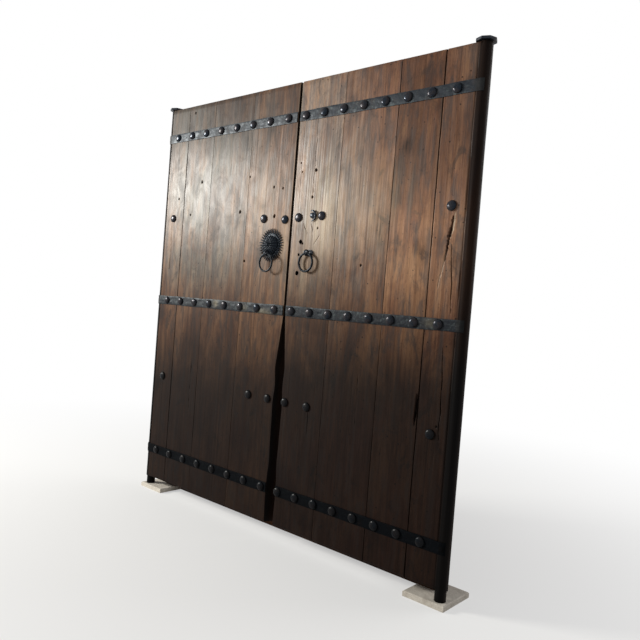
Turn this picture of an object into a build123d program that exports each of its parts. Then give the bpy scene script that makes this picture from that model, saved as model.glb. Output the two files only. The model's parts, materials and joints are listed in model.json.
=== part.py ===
from build123d import *
import math
import os

# Old double-leaf plank gate, hung on wooden pivots, with iron bands and studs, a rosette knocker
# and two rings. Millimetres. X runs along the gate, Y from the front of the leaves to the back,
# Z up from the floor. The origin is under the middle of the threshold. A leaf is drawn in its own
# frame first: x from the pivot axis to the meeting edge, y from its front face to its back, z from
# its lower edge.

# Leaves
leaf_height = 2100.0
leaf_thickness = 56.0
leaf_widths = {"left": 1002.0, "right": 930.0}
meeting_gap = 13.0
plank_seam_shares = {"left": (0.159, 0.383, 0.683), "right": (0.165, 0.390, 0.702)}
plank_names = ("hinge_stile", "second_plank", "third_plank", "meeting_plank")
seam_groove_depth = 2.4
heel_quirk_depth = 3.0

# Worn meeting edges: the wear starts under the middle band and is wider at the front than at the back
wear_start_share = 0.4714
wear_full_share = 0.357
wear_front_widths = {"left": 24.0, "right": 20.0}
wear_back_width = 3.0

# Pivots
pivot_diameter = 46.0
pivot_foot_length = 45.0
pivot_socket_depth = 12.0
pivot_clearance = 0.5
pivot_head_rise = 4.0
strap_gap = 3.0

# Rear ledges, at shares of the leaf's height
ledge_height_shares = {
    "bottom_ledge": 0.0786,
    "lower_ledge": 0.281,
    "middle_ledge": 0.4857,
    "upper_ledge": 0.7057,
    "top_ledge": 0.9214,
}
ledge_width = 80.0
ledge_depth = 36.0
ledge_chamfer = 6.0
ledge_heel_inset = 24.0
ledge_meeting_inset = 30.0

# Iron bands
band_ledges = {"lower_band": "bottom_ledge", "middle_band": "middle_ledge", "upper_band": "top_ledge"}
band_width = 50.0
band_thickness = 4.0
band_end_inset = 4.0
band_wrap_angle = 38.0

# Studs
stud_diameter = 46.0
stud_height = 11.5
cap_tier_shares = ((1, 0), (0.72, 0.7))
stud_shank_side = 9.0
stud_bite = 26.0
studs_per_band = 8
band_stud_end_shares = {"left": (0.073, 0.933), "right": (0.098, 0.950)}
row_stud_shares = {
    "left": {"lower_ledge": (0.079, 0.794, 0.929), "upper_ledge": (0.074, 0.811, 0.9575)},
    "right": {"lower_ledge": (0.095, 0.801, 0.950), "upper_ledge": (0.081, 0.7953, 0.9513)},
}
# The upper rows were set out by eye and sag towards the meeting edge
row_stud_drops = {
    "left": {"lower_ledge": (0.0, 0.0, 0.0), "upper_ledge": (0.0, 22.0, 30.0)},
    "right": {"lower_ledge": (0.0, 0.0, 0.0), "upper_ledge": (0.0, 18.5, 22.5)},
}
damaged_stud_ledge = "upper_ledge"
lost_stud_share = 0.882
lost_stud_drop = 11.0
broken_stud_share = 0.8555
broken_stud_drop = 17.0
broken_stud_cut_share = 0.2
spike_tail_length = 30.0
spike_tail_width = 8.0
spike_tail_thickness = 5.5

# Old holes beside the right ring, as shares of the leaf's width and height
old_hole_depth = 30.0
lozenge_side = 15.0
lozenge_hole_shares = (0.9251, 0.6409)
small_hole_side = 8.0
small_hole_shares = (0.9326, 0.6122)
round_hole_diameter = 18.0
round_hole_shares = (0.9346, 0.5713)

# Rosette knocker plate on the left leaf, above the eye of its ring
rosette_rise = 41.4
rosette_petal_count = 32
rosette_seat_radius = 46.0
rosette_seat_height = 6.0
petal_gap_radius = 56.0
petal_gap_height = 2.0
petal_tip_radius = 82.0
petal_tip_height = 4.0
petal_tip_width_share = 0.55
boss_radius = 45.0
boss_height = 25.0
boss_lobe_count = 12
boss_groove_share = 0.86
boss_tier_shares = ((1, 0), (0.86, 0.5), (0.6, 0.86), (0.3, 1))
button_diameter = 30.0
button_height = 9.0

# Rings and their eyes
ring_radii = {"left": 42.5, "right": 41.5}
ring_bar_radii = {"left": 4.75, "right": 5.5}
ring_stand_off = {"left": 30.0, "right": 15.0}
ring_eye_shares = {"left": (0.878, 0.6138), "right": (0.8662, 0.6162)}
ring_bar_flat_count = 8
ring_facet_count = 20
eye_play = 4.0
eye_wall = 5.5
eye_thickness = 9.0
eye_neck_width = 15.0
eye_spike_length = 46.0
eye_spike_side = 8.0
hang_clearance = 0.6

# Plate of the right ring
ring_plate_length = 56.0
ring_plate_height = 30.0
ring_plate_thickness = 3.0
plate_corner_share = 0.5
plate_nail_spacing = 36.0
plate_nail_head_diameter = 9.0
plate_nail_head_height = 3.0
plate_nail_length = 26.0
plate_nail_side = 4.0

# Sliding bar on the back
bar_height_share = 0.5952
bar_width = 64.0
bar_depth = 40.0
bar_length = 600.0
bar_chamfer = 4.0
bar_clearance = 1.5
bar_rest_gap = 0.4
bar_end_inset = 10.0
keeper_length = 80.0
keeper_height = 136.0
keeper_wall = 22.0
keeper_chamfer = 8.0
keeper_inset = 90.0
bar_tail = 60.0
bar_lock_reach = 30.0
peg_diameter = 22.0
peg_length = 70.0
peg_seat = 26.0
peg_stop_gap = 2.0

# Frame
jamb_width = 90.0
frame_depth = 100.0
frame_chamfer = 5.0
jamb_pivot_inset = 58.0
head_height = 105.0
threshold_height = 80.0
threshold_depth = 60.0
closing_gap = 0.5
tenon_thickness = 34.0
tenon_length = 60.0
stub_tenon_length = 26.0
stub_tenon_height = 50.0
joint_clearance = 0.3
frame_peg_diameter = 14.0

# Pivot sockets and straps
socket_thickness = 22.0
socket_margin = 15.0
socket_chamfer = 4.0
strap_thickness = 10.0
strap_wall = 15.0
strap_width = 46.0
strap_reach = 30.0
strap_nail_spacing = 34.0
strap_nail_head_diameter = 16.0
strap_nail_head_height = 3.0
strap_nail_length = 55.0
strap_nail_side = 6.0

# Holes for the bolts that hold the jambs to a wall
wall_bolt_diameter = 14.0
wall_bolt_shares = (0.2, 0.83)

# Forged heads have ten flats, and hand-cut pegs and forged eyes have eight
head_flat_count = 10
hand_cut_flat_count = 8

# Cuts run past the faces they open
overrun = 5.0

# Places worked out from the sizes above
heel_radius = leaf_thickness / 2
half_span = (leaf_widths["left"] + leaf_widths["right"]) / 2
meeting_x = leaf_widths["left"] - half_span
leaf_bottom = socket_thickness + pivot_foot_length
leaf_top = leaf_bottom + leaf_height
frame_front = -frame_depth / 2
leaf_front = frame_front - closing_gap - ledge_depth - leaf_thickness
pivot_y = leaf_front + heel_radius
strap_bottom = leaf_top + strap_gap
jamb_outer = half_span - jamb_pivot_inset
jamb_inner = jamb_outer - jamb_width
jamb_middle = (jamb_outer + jamb_inner) / 2
head_bottom = strap_bottom - head_height
ledge_heights = {name: share * leaf_height for name, share in ledge_height_shares.items()}
wear_start_height = wear_start_share * leaf_height
wear_full_height = wear_full_share * leaf_height
stud_length = leaf_thickness + stud_bite

SIDES = {"left": -1, "right": 1}
BOTTOM = (Align.CENTER, Align.CENTER, Align.MIN)
TOP = (Align.CENTER, Align.CENTER, Align.MAX)
FORWARD = Rot(90, 0, 0)


def block(low, high):
    """A box between two corners."""
    size = [b - a for a, b in zip(low, high)]
    return Pos(*low) * Box(*size, align=(Align.MIN, Align.MIN, Align.MIN))


def prism(points, height):
    """A straight prism on an outline in the XY plane."""
    return extrude(make_face(Polyline(*points, close=True)), height)


def facet_solid(outlines):
    """A closed solid of flat facets."""
    return Solid(Shell([Face(Wire.make_polygon(points, close=True)) for points in outlines]))


def bands_between(loops):
    """The four-sided facets between each loop of points and the next."""
    outlines = []
    for low, high in zip(loops, loops[1:]):
        outlines += [[low[i - 1], low[i], high[i], high[i - 1]] for i in range(len(low))]
    return outlines


def faceted(loops):
    """A solid of flat facets through loops of points, with flat ends."""
    return facet_solid([loops[0], loops[-1], *bands_between(loops)])


def pointed(loops, tip):
    """A solid of flat facets through loops of points, with a flat base and a point."""
    last = loops[-1]
    sides = [[last[i - 1], last[i], tip] for i in range(len(last))]
    return facet_solid([loops[0], *bands_between(loops), *sides])


def round_loop(radius, z, count):
    """Points round the Z axis at one height."""
    step = 2 * math.pi / count
    return [(radius * math.cos(i * step), radius * math.sin(i * step), z) for i in range(count)]


def square_loop(side, z):
    """The corners of a square round the Z axis at one height."""
    half = side / 2
    return [(half, half, z), (-half, half, z), (-half, -half, z), (half, -half, z)]


def forged_cap(diameter, height):
    """A hammered cap on the XY plane: a tier of flats under a low point."""
    tiers = [
        round_loop(diameter / 2 * radius_share, height * rise_share, head_flat_count)
        for radius_share, rise_share in cap_tier_shares
    ]
    return pointed(tiers, (0, 0, height))


def spike(side, length):
    """A square tapered shank, pointing down from z = 0."""
    return pointed([square_loop(side, 0)], (0, 0, -length))


def nail(head_diameter, head_height, side, length):
    """A nail with a hammered head, seated at z = 0."""
    return forged_cap(head_diameter, head_height) + spike(side, length)


def peg(diameter, length, align):
    """A hand-cut peg along Z."""
    outline = RegularPolygon(diameter / 2, hand_cut_flat_count)
    low = {Align.MIN: 0, Align.CENTER: -length / 2, Align.MAX: -length}[align]
    return Pos(0, 0, low) * extrude(outline, length)


def place(shape, side):
    """Moves a piece from its leaf's own frame to its place in the gate. The right leaf is mirrored."""
    if side == "right":
        shape = mirror(shape, about=Plane.YZ)
    return Pos(SIDES[side] * half_span, leaf_front, leaf_bottom) * shape


def on_leaf(side, shares):
    """A point of a leaf's front, from shares of its width and height."""
    return shares[0] * leaf_widths[side], shares[1] * leaf_height


def leaf_edge(side):
    """Where a leaf's meeting edge lies in its own frame."""
    return leaf_widths[side] - meeting_gap / 2


# Studs


def studs_at(places, seat):
    """A group of studs at (x, z) places on a seat at depth y. Each goes through the plank into the ledge."""
    one = FORWARD * nail(stud_diameter, stud_height, stud_shank_side, stud_length)
    return [Pos(x, seat, z) * one for x, z in places]


def band_stud_places(side):
    """The studs of the three bands, evenly spaced."""
    first, last = band_stud_end_shares[side]
    step = (last - first) / (studs_per_band - 1)
    shares = [first + i * step for i in range(studs_per_band)]
    heights = [ledge_heights[name] for name in band_ledges.values()]
    return [(share * leaf_widths[side], z) for z in heights for share in shares]


def row_stud_places(side):
    """The studs of the two rows without a band."""
    places = []
    for ledge, shares in row_stud_shares[side].items():
        for share, drop in zip(shares, row_stud_drops[side][ledge]):
            places.append((share * leaf_widths[side], ledge_heights[ledge] - drop))
    return places


def broken_stud(side):
    """A stud with part of its head gone and its spike drawn out and bent down."""
    radius = stud_diameter / 2
    lost = broken_stud_cut_share * stud_diameter
    head = forged_cap(stud_diameter, stud_height)
    head -= Pos(radius + lost, 0, 0) * Box(stud_diameter, stud_diameter, stud_diameter)
    half = spike_tail_width / 2
    hook = [
        (-lost, radius - half),
        (half - radius, half),
        (half - lost, -spike_tail_length),
        (-half - lost, -spike_tail_length),
        (-half - radius, half),
        (-lost, radius + half),
    ]
    tail = prism(hook, spike_tail_thickness)
    x = broken_stud_share * leaf_widths[side]
    stud = head + tail + spike(stud_shank_side, stud_length)
    z = ledge_heights[damaged_stud_ledge] - broken_stud_drop
    return Pos(x, 0, z) * (FORWARD * stud)


# Planks


def groove(x, depth):
    """A V along a seam in the front of a leaf."""
    wide = depth + overrun
    points = [(x - wide, -overrun), (x + wide, -overrun), (x, depth)]
    return Pos(0, 0, -overrun) * prism(points, leaf_height + 2 * overrun)


def hinge_stile(side):
    """The outer plank, with its rounded heel and the two pivots worked from the same timber."""
    seam = plank_seam_shares[side][0] * leaf_widths[side]
    front, back = (0, 0), (0, leaf_thickness)
    outline = Polyline(front, (seam, 0), (seam, leaf_thickness), back) + ThreePointArc(
        back, (-heel_radius, heel_radius), front
    )
    stile = extrude(make_face(outline), leaf_height)
    stile -= groove(heel_quirk_depth, heel_quirk_depth)
    foot_length = pivot_foot_length + pivot_socket_depth - pivot_clearance
    foot = Cylinder(pivot_diameter / 2, foot_length, align=TOP)
    head = Cylinder(pivot_diameter / 2, strap_gap + strap_thickness + pivot_head_rise, align=BOTTOM)
    return stile + Pos(0, heel_radius, 0) * foot + Pos(0, heel_radius, leaf_height) * head


def worn_wedge(side):
    """What wear has taken from a meeting edge: nothing at the start height, most at the foot and in front."""
    edge = leaf_edge(side)
    slope = (wear_front_widths[side] - wear_back_width) / leaf_thickness
    faces = []
    for y in (-overrun, leaf_thickness + overrun):
        worn = edge - wear_front_widths[side] + slope * y
        corners = [
            (edge + overrun, y, -overrun),
            (worn, y, -overrun),
            (worn, y, wear_full_height),
            (edge, y, wear_start_height),
            (edge + overrun, y, wear_start_height),
        ]
        faces.append(Face(Wire.make_polygon(corners, close=True)))
    return loft(faces, ruled=True)


def old_holes(side):
    """Empty holes of lost fittings: a lost stud on the left leaf, three holes on the right."""
    if side == "left":
        x = lost_stud_share * leaf_widths[side]
        hole = Box(stud_shank_side, stud_shank_side, old_hole_depth, align=TOP)
        z = ledge_heights[damaged_stud_ledge] - lost_stud_drop
        return [Pos(x, 0, z) * (FORWARD * hole)]
    lozenge = Rot(0, 0, 45) * Box(lozenge_side, lozenge_side, old_hole_depth, align=TOP)
    small = Box(small_hole_side, small_hole_side, old_hole_depth, align=TOP)
    large = peg(round_hole_diameter, old_hole_depth, Align.MAX)
    found = [(lozenge, lozenge_hole_shares), (small, small_hole_shares), (large, round_hole_shares)]
    holes = []
    for hole, shares in found:
        x, z = on_leaf(side, shares)
        holes.append(Pos(x, 0, z) * (FORWARD * hole))
    return holes


def planks(side):
    """The four planks of a leaf from the heel to the meeting edge."""
    edges = [share * leaf_widths[side] for share in plank_seam_shares[side]] + [leaf_edge(side)]
    pieces = [hinge_stile(side)]
    for low, high in zip(edges, edges[1:]):
        pieces.append(block((low, 0, 0), (high, leaf_thickness, leaf_height)))
    for i, seam in enumerate(edges[:-1]):
        pieces[i] -= groove(seam, seam_groove_depth)
        pieces[i + 1] -= groove(seam, seam_groove_depth)
    pieces[-1] -= [worn_wedge(side), *old_holes(side)]
    return dict(zip(plank_names, pieces))


def ledges(side):
    """The five ledges across the back of a leaf."""
    low_x = ledge_heel_inset
    high_x = leaf_edge(side) - ledge_meeting_inset
    pieces = {}
    for name, z in ledge_heights.items():
        low = (low_x, leaf_thickness, z - ledge_width / 2)
        high = (high_x, leaf_thickness + ledge_depth, z + ledge_width / 2)
        ledge = block(low, high)
        pieces[name] = chamfer(ledge.edges().group_by(Axis.Y)[-1], ledge_chamfer)
    return pieces


def band(side, ledge):
    """One iron band, from the meeting edge round on to the heel."""
    z = ledge_heights[ledge]
    worn = wear_front_widths[side] if z < wear_full_height else 0
    end = leaf_edge(side) - worn - band_end_inset

    def on_heel(radius, share):
        turn = math.radians(band_wrap_angle * share)
        return (-radius * math.sin(turn), heel_radius - radius * math.cos(turn))

    outer = heel_radius + band_thickness
    half_share, whole_share = 0.5, 1
    outline = Polyline(on_heel(outer, 0), (end, -band_thickness), (end, 0), on_heel(heel_radius, 0))
    outline += ThreePointArc(*(on_heel(heel_radius, share) for share in (0, half_share, whole_share)))
    outline += Line(on_heel(heel_radius, whole_share), on_heel(outer, whole_share))
    outline += ThreePointArc(*(on_heel(outer, share) for share in (whole_share, half_share, 0)))
    return Pos(0, 0, z - band_width / 2) * extrude(make_face(outline), band_width)


# Knocker, rings and eyes


def lobed_loop(radius, z):
    """Points of the boss's pointed lobes at one height."""
    step = math.pi / boss_lobe_count
    points = []
    for i in range(2 * boss_lobe_count):
        reach = radius * (boss_groove_share if i % 2 else 1)
        points.append((reach * math.cos(i * step), reach * math.sin(i * step), z))
    return points


def rosette_rim(height, gap_height):
    """Points round the petals: two at each blunt tip and one in each gap."""
    pitch = 2 * math.pi / rosette_petal_count
    half_tip = pitch * petal_tip_width_share / 2
    points = []
    for i in range(rosette_petal_count):
        middle = i * pitch
        for turn, radius, z in (
            (middle - half_tip, petal_tip_radius, height),
            (middle + half_tip, petal_tip_radius, height),
            (middle + pitch / 2, petal_gap_radius, gap_height),
        ):
            points.append((radius * math.cos(turn), radius * math.sin(turn), z))
    return points


def rosette_plate():
    """The knocker plate, facing +Z: narrow petals round a seat, and a lobed boss with a button on it."""
    base = rosette_rim(0, 0)
    rim = rosette_rim(petal_tip_height, petal_gap_height)
    seat = []
    for x, y, _ in rim:
        share = rosette_seat_radius / math.hypot(x, y)
        seat.append((x * share, y * share, rosette_seat_height))
    outlines = [base, seat, *bands_between([base, rim])]
    for i in range(len(rim)):
        outlines += [[rim[i - 1], rim[i], seat[i]], [rim[i - 1], seat[i], seat[i - 1]]]
    boss = faceted(
        [
            lobed_loop(boss_radius * radius_share, rosette_seat_height + boss_height * rise_share)
            for radius_share, rise_share in boss_tier_shares
        ]
    )
    button = Pos(0, 0, rosette_seat_height + boss_height) * forged_cap(button_diameter, button_height)
    return facet_solid(outlines) + boss + button


def ring_eye(side):
    """A forged eye on a spike: the ring's bar passes through its hole along X."""
    stand = ring_stand_off[side]
    hole = ring_bar_radii[side] + eye_play
    outer = hole + eye_wall
    sideways = Rot(0, 90, 0)
    outline = RegularPolygon(outer, hand_cut_flat_count, major_radius=False)
    disc = extrude(outline, eye_thickness / 2, both=True)
    head = Pos(0, -stand, 0) * (sideways * disc)
    neck = Pos(0, -stand / 2, 0) * Box(eye_thickness, stand, eye_neck_width)
    eye = head + neck - Pos(0, -stand, 0) * (sideways * Cylinder(hole, eye_thickness + overrun))
    eye += FORWARD * spike(eye_spike_side, eye_spike_length)
    x, z = on_leaf(side, ring_eye_shares[side])
    return Pos(x, 0, z) * eye


def bar_section(radius, bar, turn):
    """The eight corners of a ring's bar where two of its straight facets meet."""
    points = []
    for x, y, _ in round_loop(bar, 0, ring_bar_flat_count):
        reach = radius / math.cos(math.pi / ring_facet_count) + x
        points.append((reach * math.cos(turn), reach * math.sin(turn), y))
    return points


def ring(side):
    """A ring of forged bar with eight flats, hanging in its eye."""
    radius, bar = ring_radii[side], ring_bar_radii[side]
    turns = [2 * math.pi * (i + 1 / 2) / ring_facet_count for i in range(ring_facet_count)]
    sections = [bar_section(radius, bar, turn) for turn in turns]
    hoop = FORWARD * facet_solid(bands_between([*sections, sections[0]]))
    drop = eye_play - hang_clearance
    x, z = on_leaf(side, ring_eye_shares[side])
    return Pos(x, -ring_stand_off[side], z - drop - radius) * hoop


def ring_plate(side):
    """A small plate under the right ring's eye, with its corners cut off."""
    half_length, half_height = ring_plate_length / 2, ring_plate_height / 2
    outline = []
    for x_sign, z_sign in ((1, 1), (-1, 1), (-1, -1), (1, -1)):
        side_corner = (x_sign * half_length, z_sign * half_height * plate_corner_share)
        long_corner = (x_sign * half_length * plate_corner_share, z_sign * half_height)
        outline += [side_corner, long_corner] if x_sign == z_sign else [long_corner, side_corner]
    x, z = on_leaf(side, ring_eye_shares[side])
    return Pos(x, 0, z) * (FORWARD * prism(outline, ring_plate_thickness))


def ring_plate_nails(side):
    """The two nails beside the right ring's eye."""
    x, z = on_leaf(side, ring_eye_shares[side])
    one = FORWARD * nail(plate_nail_head_diameter, plate_nail_head_height, plate_nail_side, plate_nail_length)
    half = plate_nail_spacing / 2
    return [Pos(x + turn * half, -ring_plate_thickness, z) * one for turn in SIDES.values()]


# Sliding bar, in the gate's own frame

keeper_y = leaf_front + leaf_thickness
keeper_depth = bar_depth + 2 * bar_clearance + keeper_wall
bar_z = leaf_bottom + bar_height_share * leaf_height
bar_end = meeting_x - meeting_gap / 2 - bar_end_inset
bar_start = bar_end - bar_length
near_keeper_x = meeting_x - keeper_inset
far_keeper_x = bar_start + bar_tail + keeper_length / 2
lock_keeper_x = meeting_x + keeper_inset
bar_travel = lock_keeper_x + keeper_length / 2 + bar_lock_reach - bar_end
peg_x = near_keeper_x - keeper_length / 2 - peg_stop_gap - peg_diameter / 2 - bar_travel


def keeper(x):
    """A block with a channel for the bar, fixed to the back of the planks."""
    low = (x - keeper_length / 2, keeper_y, bar_z - keeper_height / 2)
    high = (x + keeper_length / 2, keeper_y + keeper_depth, bar_z + keeper_height / 2)
    body = block(low, high)
    body = chamfer(body.edges().group_by(Axis.Y)[-1], keeper_chamfer)
    half = bar_width / 2
    channel = block(
        (low[0] - overrun, keeper_y - overrun, bar_z - half - bar_rest_gap),
        (high[0] + overrun, keeper_y + bar_depth + 2 * bar_clearance, bar_z + half + 2 * bar_clearance),
    )
    return body - channel


def bar():
    """The sliding bar, drawn back on to the left leaf."""
    low = (bar_start, keeper_y + bar_clearance, bar_z - bar_width / 2)
    high = (bar_end, keeper_y + bar_clearance + bar_depth, bar_z + bar_width / 2)
    timber = block(low, high)
    return chamfer(timber.edges().filter_by(Axis.X), bar_chamfer)


def bar_peg():
    """The hand peg that stands out of the bar."""
    root = keeper_y + bar_clearance + bar_depth - peg_seat
    return Pos(peg_x, root, bar_z) * (FORWARD * peg(peg_diameter, peg_length, Align.MAX))


# Frame


def jamb(turn):
    """One jamb: a post on its socket stone, with a tenon into the head. turn is -1 for left, 1 for right."""
    x = turn * jamb_middle
    half = jamb_width / 2
    post = block(
        (x - half, frame_front, socket_thickness), (x + half, frame_front + frame_depth, head_bottom)
    )
    post = chamfer(post.edges().filter_by(Axis.Z), frame_chamfer)
    tenon = Pos(x, 0, head_bottom) * Box(jamb_width / 2, tenon_thickness, tenon_length, align=BOTTOM)
    bolts = [
        Pos(x, 0, share * leaf_height) * (FORWARD * Cylinder(wall_bolt_diameter / 2, frame_depth + overrun))
        for share in wall_bolt_shares
    ]
    return post + tenon - bolts


def head_beam():
    """The head, across both jambs."""
    low = (-jamb_outer, frame_front, head_bottom)
    high = (jamb_outer, frame_front + frame_depth, strap_bottom)
    beam = block(low, high)
    beam = chamfer(beam.edges().filter_by(Axis.X).group_by(Axis.Z)[0], frame_chamfer)
    mortise = Box(
        jamb_width / 2 + 2 * joint_clearance,
        tenon_thickness + 2 * joint_clearance,
        tenon_length + joint_clearance,
        align=BOTTOM,
    )
    return beam - [Pos(turn * jamb_middle, 0, head_bottom) * mortise for turn in SIDES.values()]


def threshold():
    """The threshold between the jambs, with a stub tenon into each."""
    back = frame_front + frame_depth
    sill = block((-jamb_inner, back - threshold_depth, 0), (jamb_inner, back, threshold_height))
    sill = chamfer(sill.edges().filter_by(Axis.X).group_by(Axis.Z)[-1], frame_chamfer)
    tenon = Box(2 * (jamb_inner + stub_tenon_length), tenon_thickness, stub_tenon_height, align=TOP)
    return sill + Pos(0, back - threshold_depth / 2, threshold_height - frame_chamfer) * tenon


def pivot_socket(turn):
    """A flat stone under a jamb that reaches forward to the pivot and has a cup for it."""
    reach = pivot_diameter / 2 + socket_margin
    inner, outer = jamb_inner, half_span + reach
    low_x, high_x = sorted((turn * inner, turn * outer))
    stone = block((low_x, pivot_y - reach, 0), (high_x, frame_front + frame_depth, socket_thickness))
    stone = chamfer(stone.edges().group_by(Axis.Z)[-1], socket_chamfer)
    cup = Cylinder(pivot_diameter / 2 + pivot_clearance, pivot_socket_depth + overrun, align=BOTTOM)
    return stone - Pos(turn * half_span, pivot_y, socket_thickness - pivot_socket_depth) * cup


strap_end_x = jamb_middle
strap_end_y = strap_reach
strap_angle = math.degrees(math.atan2(strap_end_y - pivot_y, strap_end_x - half_span))
strap_length = math.hypot(strap_end_y - pivot_y, strap_end_x - half_span)


def strap_nail_places(turn):
    """The two nails of a strap, along its arm over the head."""
    along = [strap_length - strap_width / 4 - i * strap_nail_spacing for i in range(2)]
    angle = math.radians(strap_angle)
    return [
        (turn * (half_span + run * math.cos(angle)), pivot_y + run * math.sin(angle)) for run in along
    ]


def strap_nails():
    """The nails of both straps."""
    one = nail(strap_nail_head_diameter, strap_nail_head_height, strap_nail_side, strap_nail_length)
    places = [place for turn in SIDES.values() for place in strap_nail_places(turn)]
    return [Pos(x, y, strap_bottom + strap_thickness) * one for x, y in places]


def pivot_strap(turn):
    """An iron strap on the head with an eye round the upper pivot."""
    eye_radius = pivot_diameter / 2 + pivot_clearance + strap_wall
    eye = extrude(RegularPolygon(eye_radius, hand_cut_flat_count, major_radius=False), strap_thickness)
    arm = Box(strap_length, strap_width, strap_thickness, align=(Align.MIN, Align.CENTER, Align.MIN))
    strap = eye + Rot(0, 0, strap_angle) * arm
    strap -= Cylinder(pivot_diameter / 2 + pivot_clearance, strap_thickness + overrun, align=BOTTOM)
    if turn < 0:
        strap = mirror(strap, about=Plane.YZ)
    return Pos(turn * half_span, pivot_y, strap_bottom) * strap


def frame_pegs():
    """The pegs through the mortise and tenon joints of the frame."""
    back = frame_front + frame_depth
    sill_peg_x = jamb_inner + stub_tenon_length / 2
    sill_peg_z = threshold_height - frame_chamfer - stub_tenon_height / 2
    pegs = []
    for turn in SIDES.values():
        pegs.append(
            Pos(turn * jamb_middle, 0, head_bottom + tenon_length / 2)
            * (FORWARD * peg(frame_peg_diameter, frame_depth, Align.CENTER))
        )
        pegs.append(
            Pos(turn * sill_peg_x, back, sill_peg_z)
            * (FORWARD * peg(frame_peg_diameter, threshold_depth, Align.MIN))
        )
    return pegs


def leaf_nodes(side):
    """All the pieces of one leaf, placed, each under its own name. Spikes go into the solid timber."""
    band_studs = studs_at(band_stud_places(side), -band_thickness)
    eye = ring_eye(side)
    pieces = {**planks(side), **ledges(side)}
    if side == "right":
        nails = ring_plate_nails(side)
        pieces["broken_stud"] = broken_stud(side)
        pieces["ring_plate"] = ring_plate(side) - [eye, *nails]
        pieces["ring_plate_nails"] = Compound(children=nails)
    else:
        x, z = on_leaf(side, ring_eye_shares[side])
        pieces["knocker_rosette"] = Pos(x, 0, z + rosette_rise) * (FORWARD * rosette_plate()) - eye
    pieces["ring_eye"] = eye
    pieces["ring"] = ring(side)
    pieces["band_studs"] = Compound(children=band_studs)
    pieces["row_studs"] = Compound(children=studs_at(row_stud_places(side), 0))
    for name, ledge in band_ledges.items():
        pieces[name] = band(side, ledge) - band_studs
    return {f"{side}_{name}": place(piece, side) for name, piece in pieces.items()}


def frame_nodes():
    """The pieces of the fixed frame."""
    pegs = frame_pegs()
    nails = strap_nails()
    nodes = {"threshold": threshold() - pegs, "head_beam": head_beam() - pegs}
    for side, turn in SIDES.items():
        nodes[f"{side}_jamb"] = jamb(turn) - [nodes["threshold"], *pegs]
        nodes[f"{side}_pivot_socket"] = pivot_socket(turn)
        nodes[f"{side}_pivot_strap"] = pivot_strap(turn) - nails
    nodes["strap_nails"] = Compound(children=nails)
    nodes["frame_pegs"] = Compound(children=pegs)
    return nodes


def bar_nodes():
    """The sliding bar with its peg, two keepers on the left leaf and one on the right."""
    hand_peg = bar_peg()
    return {
        "bar": bar() - hand_peg,
        "bar_peg": hand_peg,
        "left_far_keeper": keeper(far_keeper_x),
        "left_near_keeper": keeper(near_keeper_x),
        "right_keeper": keeper(lock_keeper_x),
    }


os.makedirs("parts", exist_ok=True)
nodes = {**frame_nodes(), **bar_nodes()}
for leaf_side in SIDES:
    nodes.update(leaf_nodes(leaf_side))
for node_name, solid in nodes.items():
    export_step(solid, f"parts/{node_name}.step")
print(len(nodes), "nodes; bar travel", round(bar_travel, 2), "mm")
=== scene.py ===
"""Looks for an old double-leaf plank gate: weathered planks, forged iron, stone sockets and a plain stage."""

import json
import math
import random

import bmesh
import bpy
import numpy as np
from mathutils import Matrix, Vector


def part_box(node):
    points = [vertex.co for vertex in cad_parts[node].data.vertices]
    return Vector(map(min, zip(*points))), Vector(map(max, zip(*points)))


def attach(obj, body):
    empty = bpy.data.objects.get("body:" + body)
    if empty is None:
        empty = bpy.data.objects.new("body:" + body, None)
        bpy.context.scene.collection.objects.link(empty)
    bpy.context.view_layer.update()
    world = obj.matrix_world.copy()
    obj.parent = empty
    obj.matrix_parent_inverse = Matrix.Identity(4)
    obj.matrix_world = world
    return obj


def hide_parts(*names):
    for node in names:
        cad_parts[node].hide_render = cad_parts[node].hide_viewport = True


bl_info = {
    "name": "Old Plank Gate",
    "version": (1, 0, 0),
    "blender": (4, 5, 0),
    "location": "View3D > Sidebar > Plank Gate",
    "description": "Dresses a double-leaf plank gate with weathered timber and forged iron",
    "category": "Object",
}

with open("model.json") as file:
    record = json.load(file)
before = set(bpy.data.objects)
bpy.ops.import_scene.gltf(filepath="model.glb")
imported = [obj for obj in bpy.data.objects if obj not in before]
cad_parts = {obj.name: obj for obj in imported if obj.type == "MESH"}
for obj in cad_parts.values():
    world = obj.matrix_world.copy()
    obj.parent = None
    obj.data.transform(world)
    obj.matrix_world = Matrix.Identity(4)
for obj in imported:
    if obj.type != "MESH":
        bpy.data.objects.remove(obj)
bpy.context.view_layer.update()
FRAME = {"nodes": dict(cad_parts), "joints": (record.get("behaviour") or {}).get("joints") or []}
NODES = FRAME["nodes"]
JOINTS = {joint["name"]: joint for joint in FRAME["joints"]}
SIDES = ("left", "right")
INWARD = {"left": 1, "right": -1}
PIVOT = {side: JOINTS[f"{side}_leaf_swing"]["pos_m"] for side in SIDES}
PLANKS = ("hinge_stile", "second_plank", "third_plank", "meeting_plank")
LEDGES = ("bottom_ledge", "lower_ledge", "middle_ledge", "upper_ledge", "top_ledge")
BANDS = ("lower_band", "middle_band", "upper_band")

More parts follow.
